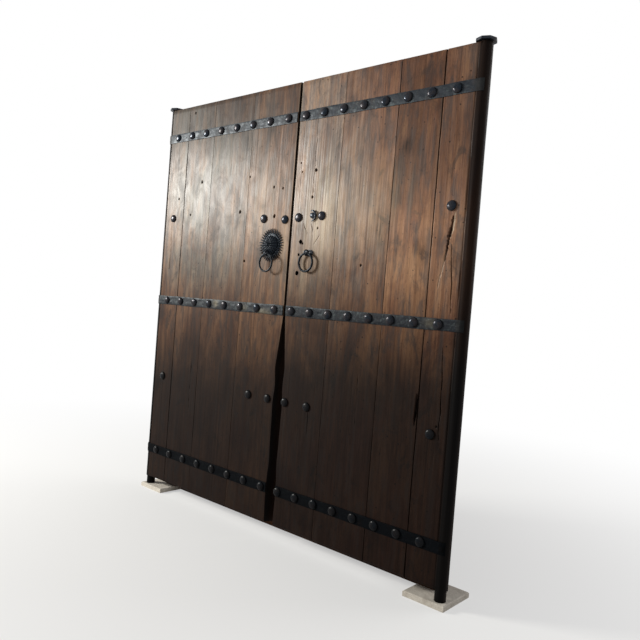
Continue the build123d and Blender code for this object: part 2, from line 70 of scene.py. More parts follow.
# Finishes of the iron: share of rust, lowest and highest roughness, lightness, shine, share of pale scale,
# and the level at which the bloom of rust starts
IRON_FINISH = {
    "lower_band": (0.10, 0.55, 0.72, 0.5, 0.03, 0.10, 0.52),
    "middle_band": (0.15, 0.42, 0.60, 0.5, 0.14, 0.45, 0.52),
    "upper_band": (0.20, 0.42, 0.62, 0.7, 0.22, 0.40, 0.52),
    "dome": (0.20, 0.18, 0.28, 1.2, 0.065, 0.12, 0.36),
    "broken_stud": (0.50, 0.20, 0.36, 1.4, 0.25, 0.12, 0.52),
    "rosette": (0.10, 0.30, 0.44, 0.9, 0.12, 0.05, 0.52),
    "ring": (0.20, 0.34, 0.50, 0.5, 0.14, 0.05, 0.52),
    "eye": (0.30, 0.30, 0.50, 1.0, 0.25, 0.12, 0.52),
    "strap": (0.50, 0.30, 0.50, 1.0, 0.25, 0.12, 0.52),
}

# Heights of the studs and nail heads, their forged width and rise as shares, and their lean in radians
STUD_HEIGHT, NAIL_HEIGHT = 0.0115, 0.003
DOME_WIDTH, DOME_RISE = 0.94, 0.92
DOME_LEAN = 0.04

# The broken stud: its middle from the box's left and top, the head's radius and height, and the bent spike as
# x and z from the middle and radius
BROKEN_MIDDLE = (0.0115, 0.0265)
BROKEN_HEAD = (0.0185, 0.0100)
BROKEN_SPIKE = (
    (-0.009, 0.0215, 0.0024),
    (0.002, 0.0225, 0.0040),
    (0.013, 0.0165, 0.0052),
    (0.0195, 0.005, 0.0054),
    (0.0185, -0.007, 0.0050),
    (0.010, -0.019, 0.0040),
    (-0.002, -0.0262, 0.0022),
)

# The rosette: the back plate's outline as radius and height, the rim's petals as count, start, lift and what
# is taken off their reach, with width, height and curl, the rolled edge, the boss, and its button
PLATE = ((0, 0), (0.0600, 0), (0.0600, 0.0022), (0.056, 0.0035), (0, 0.0040))
RIM_COUNT, RIM_START, RIM_LIFT, RIM_OFF = 36, 0.052, 0.0014, 0.0525
RIM_PETAL = (0.0058, 0.0036, 0.0010)
ROLL_RADIUS, ROLL_HEIGHT, ROLL_THICK = 0.0560, 0.0048, 0.0024
BOSS_RADIUS, BOSS_BASE, BOSS_TOP = 0.0465, 0.003, 0.0222
BUTTON, BUTTON_SEAT = (0.0075, 0.0095), 0.0240

# Petals of the boss from the outside in: radius, height, count, length, width and tilt, and their own height
# and curl
BOSS_PETALS = (
    (0.0310, 0.0190, 20, 0.0185, 0.0098, 0.60),
    (0.0215, 0.0220, 16, 0.0165, 0.0090, 0.42),
    (0.0120, 0.0236, 12, 0.0140, 0.0076, 0.26),
    (0.0040, 0.0250, 7, 0.0110, 0.0070, 0.12),
)
BOSS_PETAL = (0.0040, 0.0050)

# Steps round a ring and round an eye, room in the eye, its wall and half its width, and the neck's radii
RING_STEPS, EYE_STEPS = 72, 40
EYE_ROOM, EYE_WALL, EYE_HALF = 0.004, 0.0055, 0.0043
NECK_RADII = (0.0040, 0.0042, 0.0045, 0.0050, 0.0056, 0.0060)

# How far a band turns on to the heel
BAND_WRAP = math.radians(37.5)

# Rusty scabs on the bands: x, half length, share of the way up, strength
BAND_SCABS = {
    "left_middle_band": [
        (-0.469, 0.020, 0.15, 0.95),
        (-0.105, 0.050, -0.75, 0.85),
        (-0.245, 0.022, -0.2, 0.5),
    ],
    "right_middle_band": [(0.84, 0.030, 0.1, 0.5)],
}

LEAF_LOW, LEAF_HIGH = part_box("left_second_plank")
FRONT_Y = LEAF_LOW.y

# How open each seam looks, from the heel to the meeting edge, and at the heel and the meeting edge themselves
SEAM_STRENGTH = {"left": (0.55, 0.20, 0.10), "right": (0.70, 0.34, 0.12)}
HEEL_SEAM, MEETING_SEAM = 0.55, 0.15

# Half width and depth of a seam: at least, and added at full strength
SEAM_HALF = (0.0006, 0.0030)
SEAM_DEPTH = (0.0006, 0.0070)

# Heights over which the planks are eased back at their feet and tops, and by how much
FOOT_EASE, TOP_EASE, EASE_DEPTH = 0.014, 0.008, 0.004

# Spacing of the points up a plank, and close to marks across and up. The close part runs to a mark's radius
# times MARK_REACH, and along the two edges.
ROW_STEP, FINE_STEP, FINE_ROW = 0.013, 0.0013, 0.0018
MARK_REACH = 2.2
FINE_EDGE, FINE_FOOT = 0.008, 0.016

# Cracks: top x, top z, bottom x, bottom z, half width, depth, in metres on the front
CRACKS = {
    "left_hinge_stile": [(-0.905, 1.60, -0.900, 1.25, 0.0012, 0.002)],
    "left_second_plank": [(-0.64, 0.80, -0.632, 0.40, 0.0009, 0.002)],
    "left_meeting_plank": [(-0.13, 0.92, -0.118, 0.66, 0.0009, 0.002)],
    "right_meeting_plank": [
        (0.158, 2.03, 0.160, 1.64, 0.0006, 0.002),
        (0.232, 0.74, 0.236, 0.50, 0.0008, 0.002),
        (0.114, 1.495, 0.146, 1.450, 0.0016, 0.001),
        (0.227, 1.447, 0.186, 1.395, 0.0016, 0.001),
        (0.157, 1.506, 0.177, 1.455, 0.0014, 0.001),
    ],
    "right_third_plank": [(0.50, 0.88, 0.508, 0.60, 0.0009, 0.002)],
    "right_second_plank": [(0.807, 0.80, 0.800, 0.685, 0.0052, 0.010)],
    "right_hinge_stile": [
        (0.905, 1.40, 0.926, 1.12, 0.0018, 0.004),
        (0.905, 0.99, 0.918, 0.62, 0.0016, 0.004),
    ],
}

# Old nail marks and knots: x, z, radius, depth
PITS = {
    "left_second_plank": [
        (-0.660, 1.741, 0.006, 0.006),
        (-0.742, 1.565, 0.0042, 0.004),
        (-0.760, 2.128, 0.006, 0.003),
    ],
    "left_hinge_stile": [(-0.856, 1.658, 0.005, 0.005)],
    "left_third_plank": [(-0.333, 1.567, 0.006, 0.007)],
    "left_meeting_plank": [
        (-0.099, 1.680, 0.005, 0.004),
        (-0.037, 1.671, 0.0045, 0.003),
        (-0.274, 1.318, 0.005, 0.006),
        (-0.0822, 1.538, 0.006, 0.024),
        (-0.275, 1.742, 0.0038, 0.003),
    ],
    "right_meeting_plank": [
        (0.170, 1.742, 0.006, 0.006),
        (0.118, 1.405, 0.004, 0.004),
        (0.205, 1.475, 0.004, 0.004),
        (0.158, 1.619, 0.005, 0.004),
        (0.072, 1.783, 0.0032, 0.003),
        (0.083, 1.740, 0.0032, 0.003),
    ],
    "right_third_plank": [(0.47, 1.31, 0.005, 0.005)],
    "right_hinge_stile": [(0.902, 0.69, 0.004, 0.005)],
}

# Knots and dark stains: x, z, half width, half height, strength
STAINS = {
    "left_third_plank": [(-0.500, 1.487, 0.015, 0.020, 0.60), (-0.482, 1.541, 0.010, 0.022, 0.40)],
    "right_second_plank": [(0.663, 1.802, 0.024, 0.032, 0.75), (0.763, 1.361, 0.038, 0.055, 0.45)],
    "right_third_plank": [(0.556, 1.480, 0.020, 0.070, 0.45)],
    "right_hinge_stile": [(0.924, 1.328, 0.022, 0.040, 0.45)],
}

# Empty holes of lost fittings on the right meeting plank: shape, x, z, half size, depth
OLD_HOLES = (
    ("lozenge", 0.1057, 1.4129, 0.0112, 0.030),
    ("square", 0.0987, 1.3526, 0.0048, 0.030),
    ("round", 0.0968, 1.2667, 0.0092, 0.030),
)

# How far the painted shade of an empty hole runs past its edge
HOLE_RIM = 0.0018

# A splinter torn from the right hinge stile under a stud: top x, top z, bottom x, bottom z, half width,
# depth, painted shade in the hollows, wear. First the hollows, then the standing slivers and the bared streak
# below.
SPLINTER = (
    (0.901, 1.512, 0.893, 1.415, 0.0050, 0.0060, 0.80, 0.0),
    (0.894, 1.470, 0.884, 1.370, 0.0050, 0.0060, 0.75, 0.0),
    (0.890, 1.405, 0.878, 1.330, 0.0030, 0.0040, 0.60, 0.0),
    (0.9075, 1.524, 0.9045, 1.440, 0.0034, 0.0004, 0.0, 0.95),
    (0.9000, 1.462, 0.8965, 1.420, 0.0022, 0.0004, 0.0, 0.60),
    (0.884, 1.385, 0.856, 1.221, 0.0030, 0.0010, 0.0, 0.26),
)
SPLINTER_SPAN = ((0.850, 0.916), (1.21, 1.53))

# Pale places rubbed by hands: x, z, half width, half height, strength
HAND_WEAR = (
    (0.23, 1.49, 0.13, 0.22, 1.0),
    (0.13, 1.31, 0.10, 0.16, 0.55),
    (-0.02, 1.42, 0.06, 0.28, 0.55),
    (-0.16, 1.62, 0.10, 0.20, 0.45),
    (0.54, 1.56, 0.20, 0.22, 0.45),
)

# Lightness, share of golden wood, shares of old polish and of silvered wood that also stands in for painted
# sheen at the heel's side and at the meeting side, and share of painted shade at the top of each plank
PLANK_TONE = {
    "left_hinge_stile": (0.84, 0.50, (0.32, 0.30), (0.58, 0.62), 0.60),
    "left_second_plank": (0.80, 0.50, (0.29, 0.27), (0.66, 0.72), 0.60),
    "left_third_plank": (0.80, 0.50, (0.25, 0.21), (0.74, 0.54), 0.55),
    "left_meeting_plank": (0.87, 0.72, (0.20, 0.17), (0.46, 0.24), 0.45),
    "right_meeting_plank": (1.08, 0.78, (0.42, 0.40), (0.46, 0.46), 0.0),
    "right_third_plank": (1.18, 0.70, (0.33, 0.45), (0.14, 0.46), 0.20),
    "right_second_plank": (1.25, 0.82, (0.26, 0.30), (0.12, 0.10), 0.50),
    "right_hinge_stile": (1.32, 0.72, (0.26, 0.26), (0.28, 0.14), 0.42),
}

# Noise of the wood: its scale across and along the grain in waves per metre, detail, roughness and distortion
WOOD_NOISE = {
    "fibre": (210.0, 5.5, 6.0, 0.68, 0.0),
    "pores": (640.0, 18.0, 3.0, 0.6, 0.0),
    "streaks": (42.0, 1.6, 4.0, 0.6, 0.7),
    "patches": (5.5, 2.4, 6.0, 0.66, 0.6),
    "stains": (14.0, 8.0, 6.0, 0.66, 0.9),
    "mottle": (25.0, 4.6, 6.0, 0.66, 0.5),
    "clouds": (3.6, 2.4, 5.0, 0.6, 0.8),
    "flecks": (95.0, 60.0, 5.0, 0.75, 0.0),
}

# The noise that shares one place, so that grain, pores and patches run together
GRAIN_NOISE = ("fibre", "pores", "streaks", "patches")

# What is left of each colour under full dirt and painted shade on wood and on iron, and in the wood's dark
# clouds
WOOD_DIRT_AND_SHADE = (0.018, 0.0135, 0.0155)
IRON_DIRT_AND_SHADE = (0.10, 0.10, 0.10)
WOOD_CLOUD = (0.34, 0.30, 0.30)

# Heights between which golden patches fade, silvered wood with its painted sheen starts and old polish starts
GOLD_SPAN = (1.38, 1.74)
SILVER_AND_SHEEN_SPAN = (0.95, 1.35)
POLISH_SPAN = (0.95, 1.60)

# Heights where dirt is full and where it ends on wood other than the plank fronts; and on iron, where it is
# dirt and painted shade, the same heights and its share
WOOD_DIRT_SPAN = (0.58, 1.58)
IRON_DIRT_AND_SHADE_SPAN = (0.60, 1.30)
IRON_DIRT_AND_SHADE_SHARE = 0.85

# The window's light from the left and the fill from behind: place, target, width and height
WINDOW = ((-4.6, -3.5, 2.55), (-0.3, -0.14, 1.5), 1.5, 1.1)
WINDOW_COLOR = (1.0, 0.99, 0.93)
FILL = ((2.6, 3.4, 3.0), (0, 0, 1.2), 3.0, 3.0)
FILL_POWER = 90.0

# Strength of the white surroundings as light, half the floor's side, and the distances between which the
# floor fades to white
AMBIENT = 0.32
FLOOR_HALF = 30.0
FLOOR_FADE = (0.4, 4.2)

# The camera's place, and its yaw, pitch and roll in degrees
CAMERA_PLACE = (2.191, -2.3515, 1.126)
CAMERA_TURN = (41.1, -1.31, 4.5)

# Worn meeting edges: heights where the wear starts and is full, and its widths in front and at the back
WEAR_START, WEAR_FULL = 1.057, 0.817
WEAR_FRONT = {"left": 0.024, "right": 0.020}
WEAR_BACK = 0.003

# How far in from the meeting edge the front is drawn back, and how far it is rubbed pale
WEAR_PULL, WEAR_PALE = 0.09, 0.010

# Old grease and painted shade on the rounded heels, as a share, and how far it runs on to the front
HEEL_GREASE_AND_SHADE = 0.95
HEEL_EDGE = {"left": 0.003, "right": 0.015}

# Painted shade inside the meeting edges, and dirt on the backs of the planks, as shares
EDGE_SHADE = 0.93
BACK_SOIL = 0.55

# Eased back edges of the planks, steps round a heel, and the pivots' radius and eased ends
BACK_EASE = 0.0025
HEEL_STEPS = 22
PIVOT_RADIUS, PIVOT_EASE = 0.0229, 0.004

# Heights where painted shade at the top starts and is full on each leaf
TOP_SHADE_SPAN = {"left": (1.72, 2.02), "right": (1.42, 1.78)}

# Darkening of the plank fronts towards the floor, partly dirt and partly painted shade, from the heel to the
# meeting edge:
# its share, and the heights where it is full and where it ends
FRONT_DIRT_AND_SHADE = {
    "left": ((0.97, 0.60, 1.60), (0.97, 0.60, 1.62), (0.97, 0.60, 1.60), (0.97, 0.60, 1.60)),
    "right": ((0.985, 0.80, 1.44), (0.985, 0.77, 1.50), (0.985, 0.78, 1.62), (0.985, 0.76, 1.62)),
}


class GateTimber(bpy.types.PropertyGroup):
    """Colours and relief of the timber."""

    # Also the colour of painted shade in cracks, holes, hollows, heels and meeting edges
    dark: bpy.props.FloatVectorProperty(
        name="Dark grain",
        description="Colour in the pores and old dirt",
        subtype="COLOR",
        size=3,
        default=(0.026, 0.011, 0.008),
    )
    body: bpy.props.FloatVectorProperty(
        name="Body",
        description="Main colour of the aged wood",
        subtype="COLOR",
        size=3,
        default=(0.222, 0.090, 0.046),
    )
    grey: bpy.props.FloatVectorProperty(
        name="Grey",
        description="Colour of the smoky blotches",
        subtype="COLOR",
        size=3,
        default=(0.060, 0.049, 0.046),
    )
    gold: bpy.props.FloatVectorProperty(
        name="Gold",
        description="Colour of the golden patches",
        subtype="COLOR",
        size=3,
        default=(0.390, 0.205, 0.100),
    )
    # This colour is silvered wood, and also stands in for painted sheen
    silver_and_sheen: bpy.props.FloatVectorProperty(
        name="Silver",
        description="Colour of the silvered wood",
        subtype="COLOR",
        size=3,
        default=(0.160, 0.174, 0.148),
    )
    bare: bpy.props.FloatVectorProperty(
        name="Bare",
        description="Colour of rubbed or freshly torn wood",
        subtype="COLOR",
        size=3,
        default=(0.46, 0.37, 0.26),
    )
    relief: bpy.props.FloatProperty(
        name="Relief",
        description="Depth of the hand-planed waves",
        subtype="DISTANCE",
        unit="LENGTH",
        default=0.0012,
    )
    step: bpy.props.FloatProperty(
        name="Step",
        description="Spacing of the front's points across a plank",
        subtype="DISTANCE",
        unit="LENGTH",
        default=0.0028,
    )


class GateIron(bpy.types.PropertyGroup):
    """Colours of the forged iron."""

    black: bpy.props.FloatVectorProperty(
        name="Iron",
        description="Colour of the blackened iron",
        subtype="COLOR",
        size=3,
        default=(0.011, 0.016, 0.024),
    )
    rust: bpy.props.FloatVectorProperty(
        name="Rust",
        description="Colour of the brown bloom",
        subtype="COLOR",
        size=3,
        default=(0.085, 0.050, 0.030),
    )
    scale: bpy.props.FloatVectorProperty(
        name="Scale",
        description="Colour of the pale scale on old iron",
        subtype="COLOR",
        size=3,
        default=(0.070, 0.090, 0.090),
    )
    scab: bpy.props.FloatVectorProperty(
        name="Scab",
        description="Colour of flaking rust",
        subtype="COLOR",
        size=3,
        default=(0.110, 0.094, 0.064),
    )
    stud_wobble: bpy.props.FloatProperty(
        name="Stud wobble",
        description="How much hand-forged studs differ, as a share",
        subtype="FACTOR",
        default=0.035,
    )


class GateStage(bpy.types.PropertyGroup):
    """Light, floor and camera."""

    key_power: bpy.props.FloatProperty(
        name="Window light",
        description="Power of the soft light from the left",
        unit="POWER",
        default=500.0,
    )
    floor: bpy.props.FloatVectorProperty(
        name="Floor",
        description="Colour of the pale floor",
        subtype="COLOR",
        size=3,
        default=(0.64, 0.63, 0.615),
    )
    lens: bpy.props.FloatProperty(
        name="Lens",
        description="Focal length of the camera",
        subtype="DISTANCE_CAMERA",
        default=36.56,
    )


def settings():
    """The values that a user may change."""
    scene = bpy.context.scene
    return scene.gate_timber, scene.gate_iron, scene.gate_stage


# Noise and meshes


def smooth_noise(u, v, seed):
    """Smooth noise from 0 to 1 on two arrays of coordinates."""
    table = np.random.default_rng(seed).random((256, 256))
    iu, iv = np.floor(u).astype(int), np.floor(v).astype(int)
    fu, fv = u - iu, v - iv
    fu, fv = fu * fu * (3 - 2 * fu), fv * fv * (3 - 2 * fv)
    low = table[iu % 256, iv % 256] * (1 - fu) + table[(iu + 1) % 256, iv % 256] * fu
    high = table[iu % 256, (iv + 1) % 256] * (1 - fu) + table[(iu + 1) % 256, (iv + 1) % 256] * fu
    return low * (1 - fv) + high * fv


def spaced(low, high, step, fine_spans, fine_step):
    """Points from low to high, closer together inside the fine spans."""
    points = set(np.linspace(low, high, max(2, int(round((high - low) / step)) + 1)))
    for start, end in fine_spans:
        start, end = max(start, low), min(end, high)
        if end > start:
            points.update(np.linspace(start, end, int((end - start) / fine_step) + 2))
    kept = [low]
    for point in sorted(points):
        if point - kept[-1] > fine_step / 2:
            kept.append(point)
    kept[-1] = high
    return np.array(kept)


def new_object(name, vertices, faces, material, attributes=(), smooth_angle=42.0):
    """A mesh object with smooth faces, sharp edges over an angle and named point values."""
    mesh = bpy.data.meshes.new(name)
    mesh.from_pydata([tuple(v) for v in vertices], [], faces)
    for attribute_name, values in attributes:
        attribute = mesh.attributes.new(attribute_name, "FLOAT", "POINT")
        attribute.data.foreach_set("value", np.asarray(values, np.float32))
    work = bmesh.new()
    work.from_mesh(mesh)
    bmesh.ops.recalc_face_normals(work, faces=work.faces)
    work.to_mesh(mesh)
    work.free()
    mesh.polygons.foreach_set("use_smooth", [True] * len(mesh.polygons))
    mesh.set_sharp_from_angle(angle=math.radians(smooth_angle))
    mesh.materials.append(material)
    piece = bpy.data.objects.new(name, mesh)
    bpy.context.scene.collection.objects.link(piece)
    return piece


def settle(piece, body, node):
    """Ties a piece to its body and hides the node that it stands for."""
    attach(piece, body)
    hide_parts(node)


class Shape:
    """Points and faces gathered from several closed forms."""

    def __init__(self):
        self.vertices = []
        self.faces = []

    def add(self, vertices, faces, place=None):
        """Adds one form, moved by a matrix if given."""
        start = len(self.vertices)
        for vertex in vertices:
            self.vertices.append(tuple(place @ Vector(vertex)) if place else tuple(vertex))
        self.faces += [[start + index for index in face] for face in faces]

    def form(self):
        """The points and the faces."""
        return self.vertices, self.faces


def loft(ring):
    """A closed form through rows of points, with flat ends."""
    rows, count = ring.shape[:2]
    faces = []
    for k in range(rows - 1):
        a, b = k * count, (k + 1) * count
        faces += [[a + i, a + (i + 1) % count, b + (i + 1) % count, b + i] for i in range(count)]
    faces += [list(range(count)), list(range((rows - 1) * count, rows * count))]
    return ring.reshape(-1, 3), faces


def lathe(profile, count, wobble=None):
    """A closed turned form round Z from (radius, z) points. wobble changes the radius by turn and height."""
    vertices, faces = [], []
    rings = []
    for radius, z in profile:
        if radius == 0:
            rings.append([len(vertices)])
            vertices.append((0, 0, z))
            continue
        ring = []
        for i in range(count):
            turn = 2 * math.pi * i / count
            reach = radius * (wobble(turn, z) if wobble else 1)
            ring.append(len(vertices))
            vertices.append((reach * math.cos(turn), reach * math.sin(turn), z))
        rings.append(ring)
    for low, high in zip(rings, rings[1:]):
        for i in range(count):
            j = (i + 1) % count
            if len(low) == 1:
                faces.append([low[0], high[i], high[j]])
            elif len(high) == 1:
                faces.append([low[i], low[j], high[0]])
            else:
                faces.append([low[i], low[j], high[j], high[i]])
    return vertices, faces


def tube(path, radii, count, closed=False, flatten=1.0):
    """A closed tube along points, with a radius at each. flatten squeezes it along its second normal."""
    points = [Vector(p) for p in path]
    total = len(points)
    vertices, faces = [], []
    normal = None
    for i, point in enumerate(points):
        before = points[i - 1] if closed or i else point
        after = points[(i + 1) % total] if closed or i < total - 1 else point
        along = (after - before).normalized()
        if normal is None:
            helper = Vector((0, 0, 1)) if abs(along.z) < 0.9 else Vector((1, 0, 0))
            normal = along.cross(helper).normalized()
        normal = (normal - along * normal.dot(along)).normalized()
        other = along.cross(normal)
        for k in range(count):
            turn = 2 * math.pi * k / count
            offset = normal * math.cos(turn) * radii[i] + other * math.sin(turn) * radii[i] * flatten
            vertices.append(tuple(point + offset))
    for i in range(total if closed else total - 1):
        a, b = i * count, ((i + 1) % total) * count
        for k in range(count):
            n = (k + 1) % count
            faces.append([a + k, a + n, b + n, b + k])
    if not closed:
        faces.append(list(range(count))[::-1])
        faces.append([(total - 1) * count + k for k in range(count)])
    return vertices, faces


def petal(length, width, height, curl, rows=8, columns=6):
    """A crowned petal along +X from the origin, on the XY plane, with its tip lifted by curl."""
    vertices, faces = [], []
    for i in range(rows + 1):
        share = i / rows
        half = width / 2 * (0.35 + 0.65 * math.sin(math.pi * min(1, 0.25 + 0.62 * share)))
        if share > 0.75:
            half *= math.sqrt(max(0.02, 1 - ((share - 0.75) / 0.25) ** 2))
        lift = curl * share**3
        for j in range(columns + 1):
            across = 2 * j / columns - 1
            crown = height * math.sqrt(max(0, 1 - across**2)) * (0.55 + 0.45 * math.sin(math.pi * share))
            vertices.append((length * share, half * across, lift + crown))
    for i in range(rows + 1):
        share = i / rows
        vertices.append((length * share, 0, curl * share**3 - height * 0.35))
    width_count = columns + 1
    base = (rows + 1) * width_count
    for i in range(rows):
        for j in range(columns):
            a = i * width_count + j
            faces.append([a, a + width_count, a + width_count + 1, a + 1])
        left, right = i * width_count, i * width_count + columns
        faces.append([left, base + i, base + i + 1, left + width_count])
        faces.append([right + width_count, base + i + 1, base + i, right])
    for i in (0, rows):
        edge = [i * width_count + j for j in range(width_count)]
        faces.append(edge + [base + i])
    return vertices, faces


# Materials


class Nodes:
    """A short way to build a material's nodes."""

    def __init__(self, name):
        self.material = bpy.data.materials.new(name)
        self.material.use_nodes = True
        self.tree = self.material.node_tree
        self.shader = self.tree.nodes["Principled BSDF"]

    def node(self, kind, inputs=(), **values):
        """One node with its values, and its inputs set or linked."""
        made = self.tree.nodes.new(kind)
        for key, value in values.items():
            setattr(made, key, value)
        for key, value in dict(inputs).items():
            self.feed(made.inputs[key], value)
        return made

    def feed(self, socket, value):
        """Links an output to a socket, or sets the socket."""
        if isinstance(value, bpy.types.NodeSocket):
            self.tree.links.new(value, socket)
        else:
            socket.default_value = value

    def here(self):
        """The object's own coordinates."""
        return self.node("ShaderNodeTexCoord").outputs["Object"]

    def axes(self):
        """The three coordinates, by name."""
        return self.node("ShaderNodeSeparateXYZ", {"Vector": self.here()}).outputs

    def value(self, name):
        """A named value of the mesh."""
        return self.node("ShaderNodeAttribute", attribute_name=name).outputs["Fac"]

    def place(self, scale, offset):
        """The object's own coordinates, stretched and moved. One number stretches all three."""
        scale = scale if isinstance(scale, tuple) else (scale,) * 3
        mapping = self.node("ShaderNodeMapping", {"Vector": self.here(), "Scale": scale, "Location": offset})
        return mapping.outputs["Vector"]

    def noise(self, scale, offset, detail, rough, distortion=0.0):
        """Noise in stretched coordinates."""
        made = self.node(
            "ShaderNodeTexNoise",
            {
                "Vector": self.place(scale, offset),
                "Scale": 1.0,
                "Detail": detail,
                "Roughness": rough,
                "Distortion": distortion,
            },
        )
        return made.outputs["Fac"]

    def ramp(self, value, low, high, to_low=0.0, to_high=1.0):
        """Maps a value from one range to another, smoothly and held at the ends."""
        made = self.node(
            "ShaderNodeMapRange",
            {"Value": value, "From Min": low, "From Max": high, "To Min": to_low, "To Max": to_high},
            interpolation_type="SMOOTHSTEP",
        )
        return made.outputs["Result"]

    def math(self, operation, a, b):
        """One sum."""
        made = self.node("ShaderNodeMath", {0: a, 1: b}, operation=operation)
        return made.outputs["Value"]

    def times(self, first, *others):
        """A product."""
        for other in others:
            first = self.math("MULTIPLY", first, other)
        return first

    def mix(self, share, a, b, kind="MIX"):
        """Mixes two colours."""
        made = self.node("ShaderNodeMix", data_type="RGBA", blend_type=kind)
        for index, value in ((0, share), (6, a), (7, b)):
            if isinstance(value, tuple) and len(value) == 3:
                value = (*value, 1)
            self.feed(made.inputs[index], value)
        return made.outputs[2]

    def shade(self, **inputs):
        """Feeds the shader's inputs, with _ for a space in their names."""
        for key, value in inputs.items():
            self.feed(self.shader.inputs[key.replace("_", " ")], value)

    def bump(self, height, strength, distance):
        """Small relief on the shader's normal."""
        made = self.node("ShaderNodeBump", {"Height": height, "Strength": strength, "Distance": distance})
        self.shade(Normal=made.outputs["Normal"])


def tone(color, gain):
    """A colour made lighter or darker."""
    return tuple(min(1.0, channel * gain) for channel in color)


def wood(
    name,
    seed,
    gain=1.0,
    gold_share=0.5,
    grain="Z",
    polish=(0.3, 0.3),
    silver_and_sheen=(0.0, 0.0),
    span=(0.0, 1.0),
    top_shade=(1.6, 2.0, 0.0),
    soil=0.0,
    front=None,
):
    """Aged wood with long grain, pores, silvered and golden patches, stains, old polish and dirt. The
    silvered colour also stands in for painted sheen, and painted shade darkens hollows, the top and, with the
    dirt, the foot.

    polish and silver_and_sheen are shares at the two x of span; the silvered colour also stands in for
    painted sheen. top_shade gives the heights where painted shade at the top starts and is full, and its
    share. soil is the share of dirt towards the floor. front gives the darkening of a leaf's front, partly
    dirt and partly painted
    shade: its share, and the heights where it is full and where it ends.
    """
    timber = settings()[0]
    draw = random.Random(seed)
    offset = tuple(draw.uniform(-40, 40) for _ in range(3))
    long_axis = "XYZ".index(grain)
    n = Nodes(name)

    def layer(key):
        across, along, detail, rough, distortion = WOOD_NOISE[key]
        scale = tuple(along if axis == long_axis else across for axis in range(3))
        return n.noise(scale, offset if key in GRAIN_NOISE else offset[::-1], detail, rough, distortion)

    fibre, pores, streaks, patches, stains, mottle, clouds, flecks = (layer(key) for key in WOOD_NOISE)
    body = tone(timber.body, gain)
    color = n.mix(n.ramp(fibre, 0.30, 0.70), tone(body, 0.52), tone(body, 1.08))
    axes = n.axes()
    height = n.math("ADD", axes["Z"], n.times(n.math("SUBTRACT", patches, 0.5), 0.35))
    golden = n.mix(n.ramp(fibre, 0.2, 0.6, 0.3, 1.0), color, timber.gold[:])
    gold_here = n.times(n.ramp(patches, 0.36, 0.66, 0.0, gold_share), n.ramp(height, *GOLD_SPAN, 1.0, 0.22))
    color = n.mix(gold_here, color, golden)
    # Silvered wood, whose colour also stands in for painted sheen
    silver_and_sheen_low, silver_and_sheen_high = tone(timber.silver_and_sheen, 0.68 * gain), tone(timber.silver_and_sheen, 1.25 * gain)
    silvered_and_sheen = n.mix(n.ramp(fibre, 0.30, 0.70), silver_and_sheen_low, silver_and_sheen_high)
    silver_and_sheen_here = n.times(
        n.ramp(axes["X"], *span, *silver_and_sheen),
        n.ramp(clouds, 0.62, 0.40, 0.55, 1.0),
        n.ramp(height, *SILVER_AND_SHEEN_SPAN, 0.1, 1.0),
    )
    color = n.mix(silver_and_sheen_here, color, silvered_and_sheen)
    # Noise, its levels where a tint starts and is full, the tint's share, and the tint, or None for clouds
    for noise, start, full, most, tint in (
        (mottle, 0.50, 0.36, 0.58 * gold_share, golden),
        (streaks, 0.47, 0.62, 0.52, tone(body, 0.42)),
        (mottle, 0.48, 0.62, 0.62, tone(timber.grey, gain)),
        (clouds, 0.48, 0.70, 0.55, None),
        (stains, 0.56, 0.68, 0.55, tone(timber.grey, 0.62 * gain)),
        (flecks, 0.54, 0.74, 0.60, tone(timber.dark, 1.6)),
        (pores, 0.60, 0.73, 0.42, timber.dark[:]),
    ):
        if tint is None:
            tint = n.mix(1.0, color, WOOD_CLOUD, "MULTIPLY")
        color = n.mix(n.ramp(noise, start, full, 0.0, most), color, tint)
    cells = n.node("ShaderNodeTexVoronoi", {"Vector": n.place(34.0, offset), "Scale": 1.0}).outputs
    lot = n.node("ShaderNodeSeparateColor", {"Color": cells["Color"]}).outputs["Red"]
    holes = n.times(n.ramp(lot, 0.62, 0.66), n.ramp(cells["Distance"], 0.15, 0.08), 0.9)
    color = n.mix(holes, color, tone(timber.dark, 0.5))
    worn = n.times(n.value("worn"), n.ramp(fibre, 0.30, 0.62, 0.35, 1.0))
    color = n.mix(worn, color, timber.bare[:])
    # Near-black where the mesh marks stains and joints, and painted shade in cracks, holes, hollows, on the
    # heels and in the meeting edges
    cavity = n.value("cavity")
    color = n.mix(cavity, color, tone(timber.dark, 0.25))
    # Darker towards the floor on the fronts, partly dirt and partly painted shade, and painted shade at the
    # top of a leaf
    dirt_and_shade_span, share = WOOD_DIRT_SPAN, soil
    if front:
        dirt_and_shade_span = front[1:]
        share = n.ramp(axes["Y"], FRONT_Y + 0.008, FRONT_Y + 0.040, front[0], soil)
    dirt_and_shade = n.times(share, n.ramp(mottle, 0.42, 0.64, 1.0, 0.955), n.ramp(height, *dirt_and_shade_span, 1.0, 0.0))
    dirt_and_shade = n.math("MAXIMUM", dirt_and_shade, n.ramp(height, *top_shade[:2], 0.0, top_shade[2]))
    color = n.mix(dirt_and_shade, color, n.mix(1.0, color, WOOD_DIRT_AND_SHADE, "MULTIPLY"))
    clear_of_dirt_and_shade = n.math("SUBTRACT", 1.0, n.math("MAXIMUM", cavity, dirt_and_shade))
    coat = n.times(
        n.ramp(axes["X"], *span, *polish),
        n.ramp(stains, 0.30, 0.66, 1.0, 0.45),
        n.ramp(height, *POLISH_SPAN),
        clear_of_dirt_and_shade,
    )
    n.shade(Base_Color=color, Roughness=n.ramp(fibre, 0.3, 0.7, 0.46, 0.66), Specular_IOR_Level=0.06)
    n.shade(Coat_Weight=coat, Coat_Roughness=0.32)
    n.bump(n.math("ADD", n.times(fibre, 0.6), n.times(flecks, 0.4)), 0.25, 0.001)
    return n.material


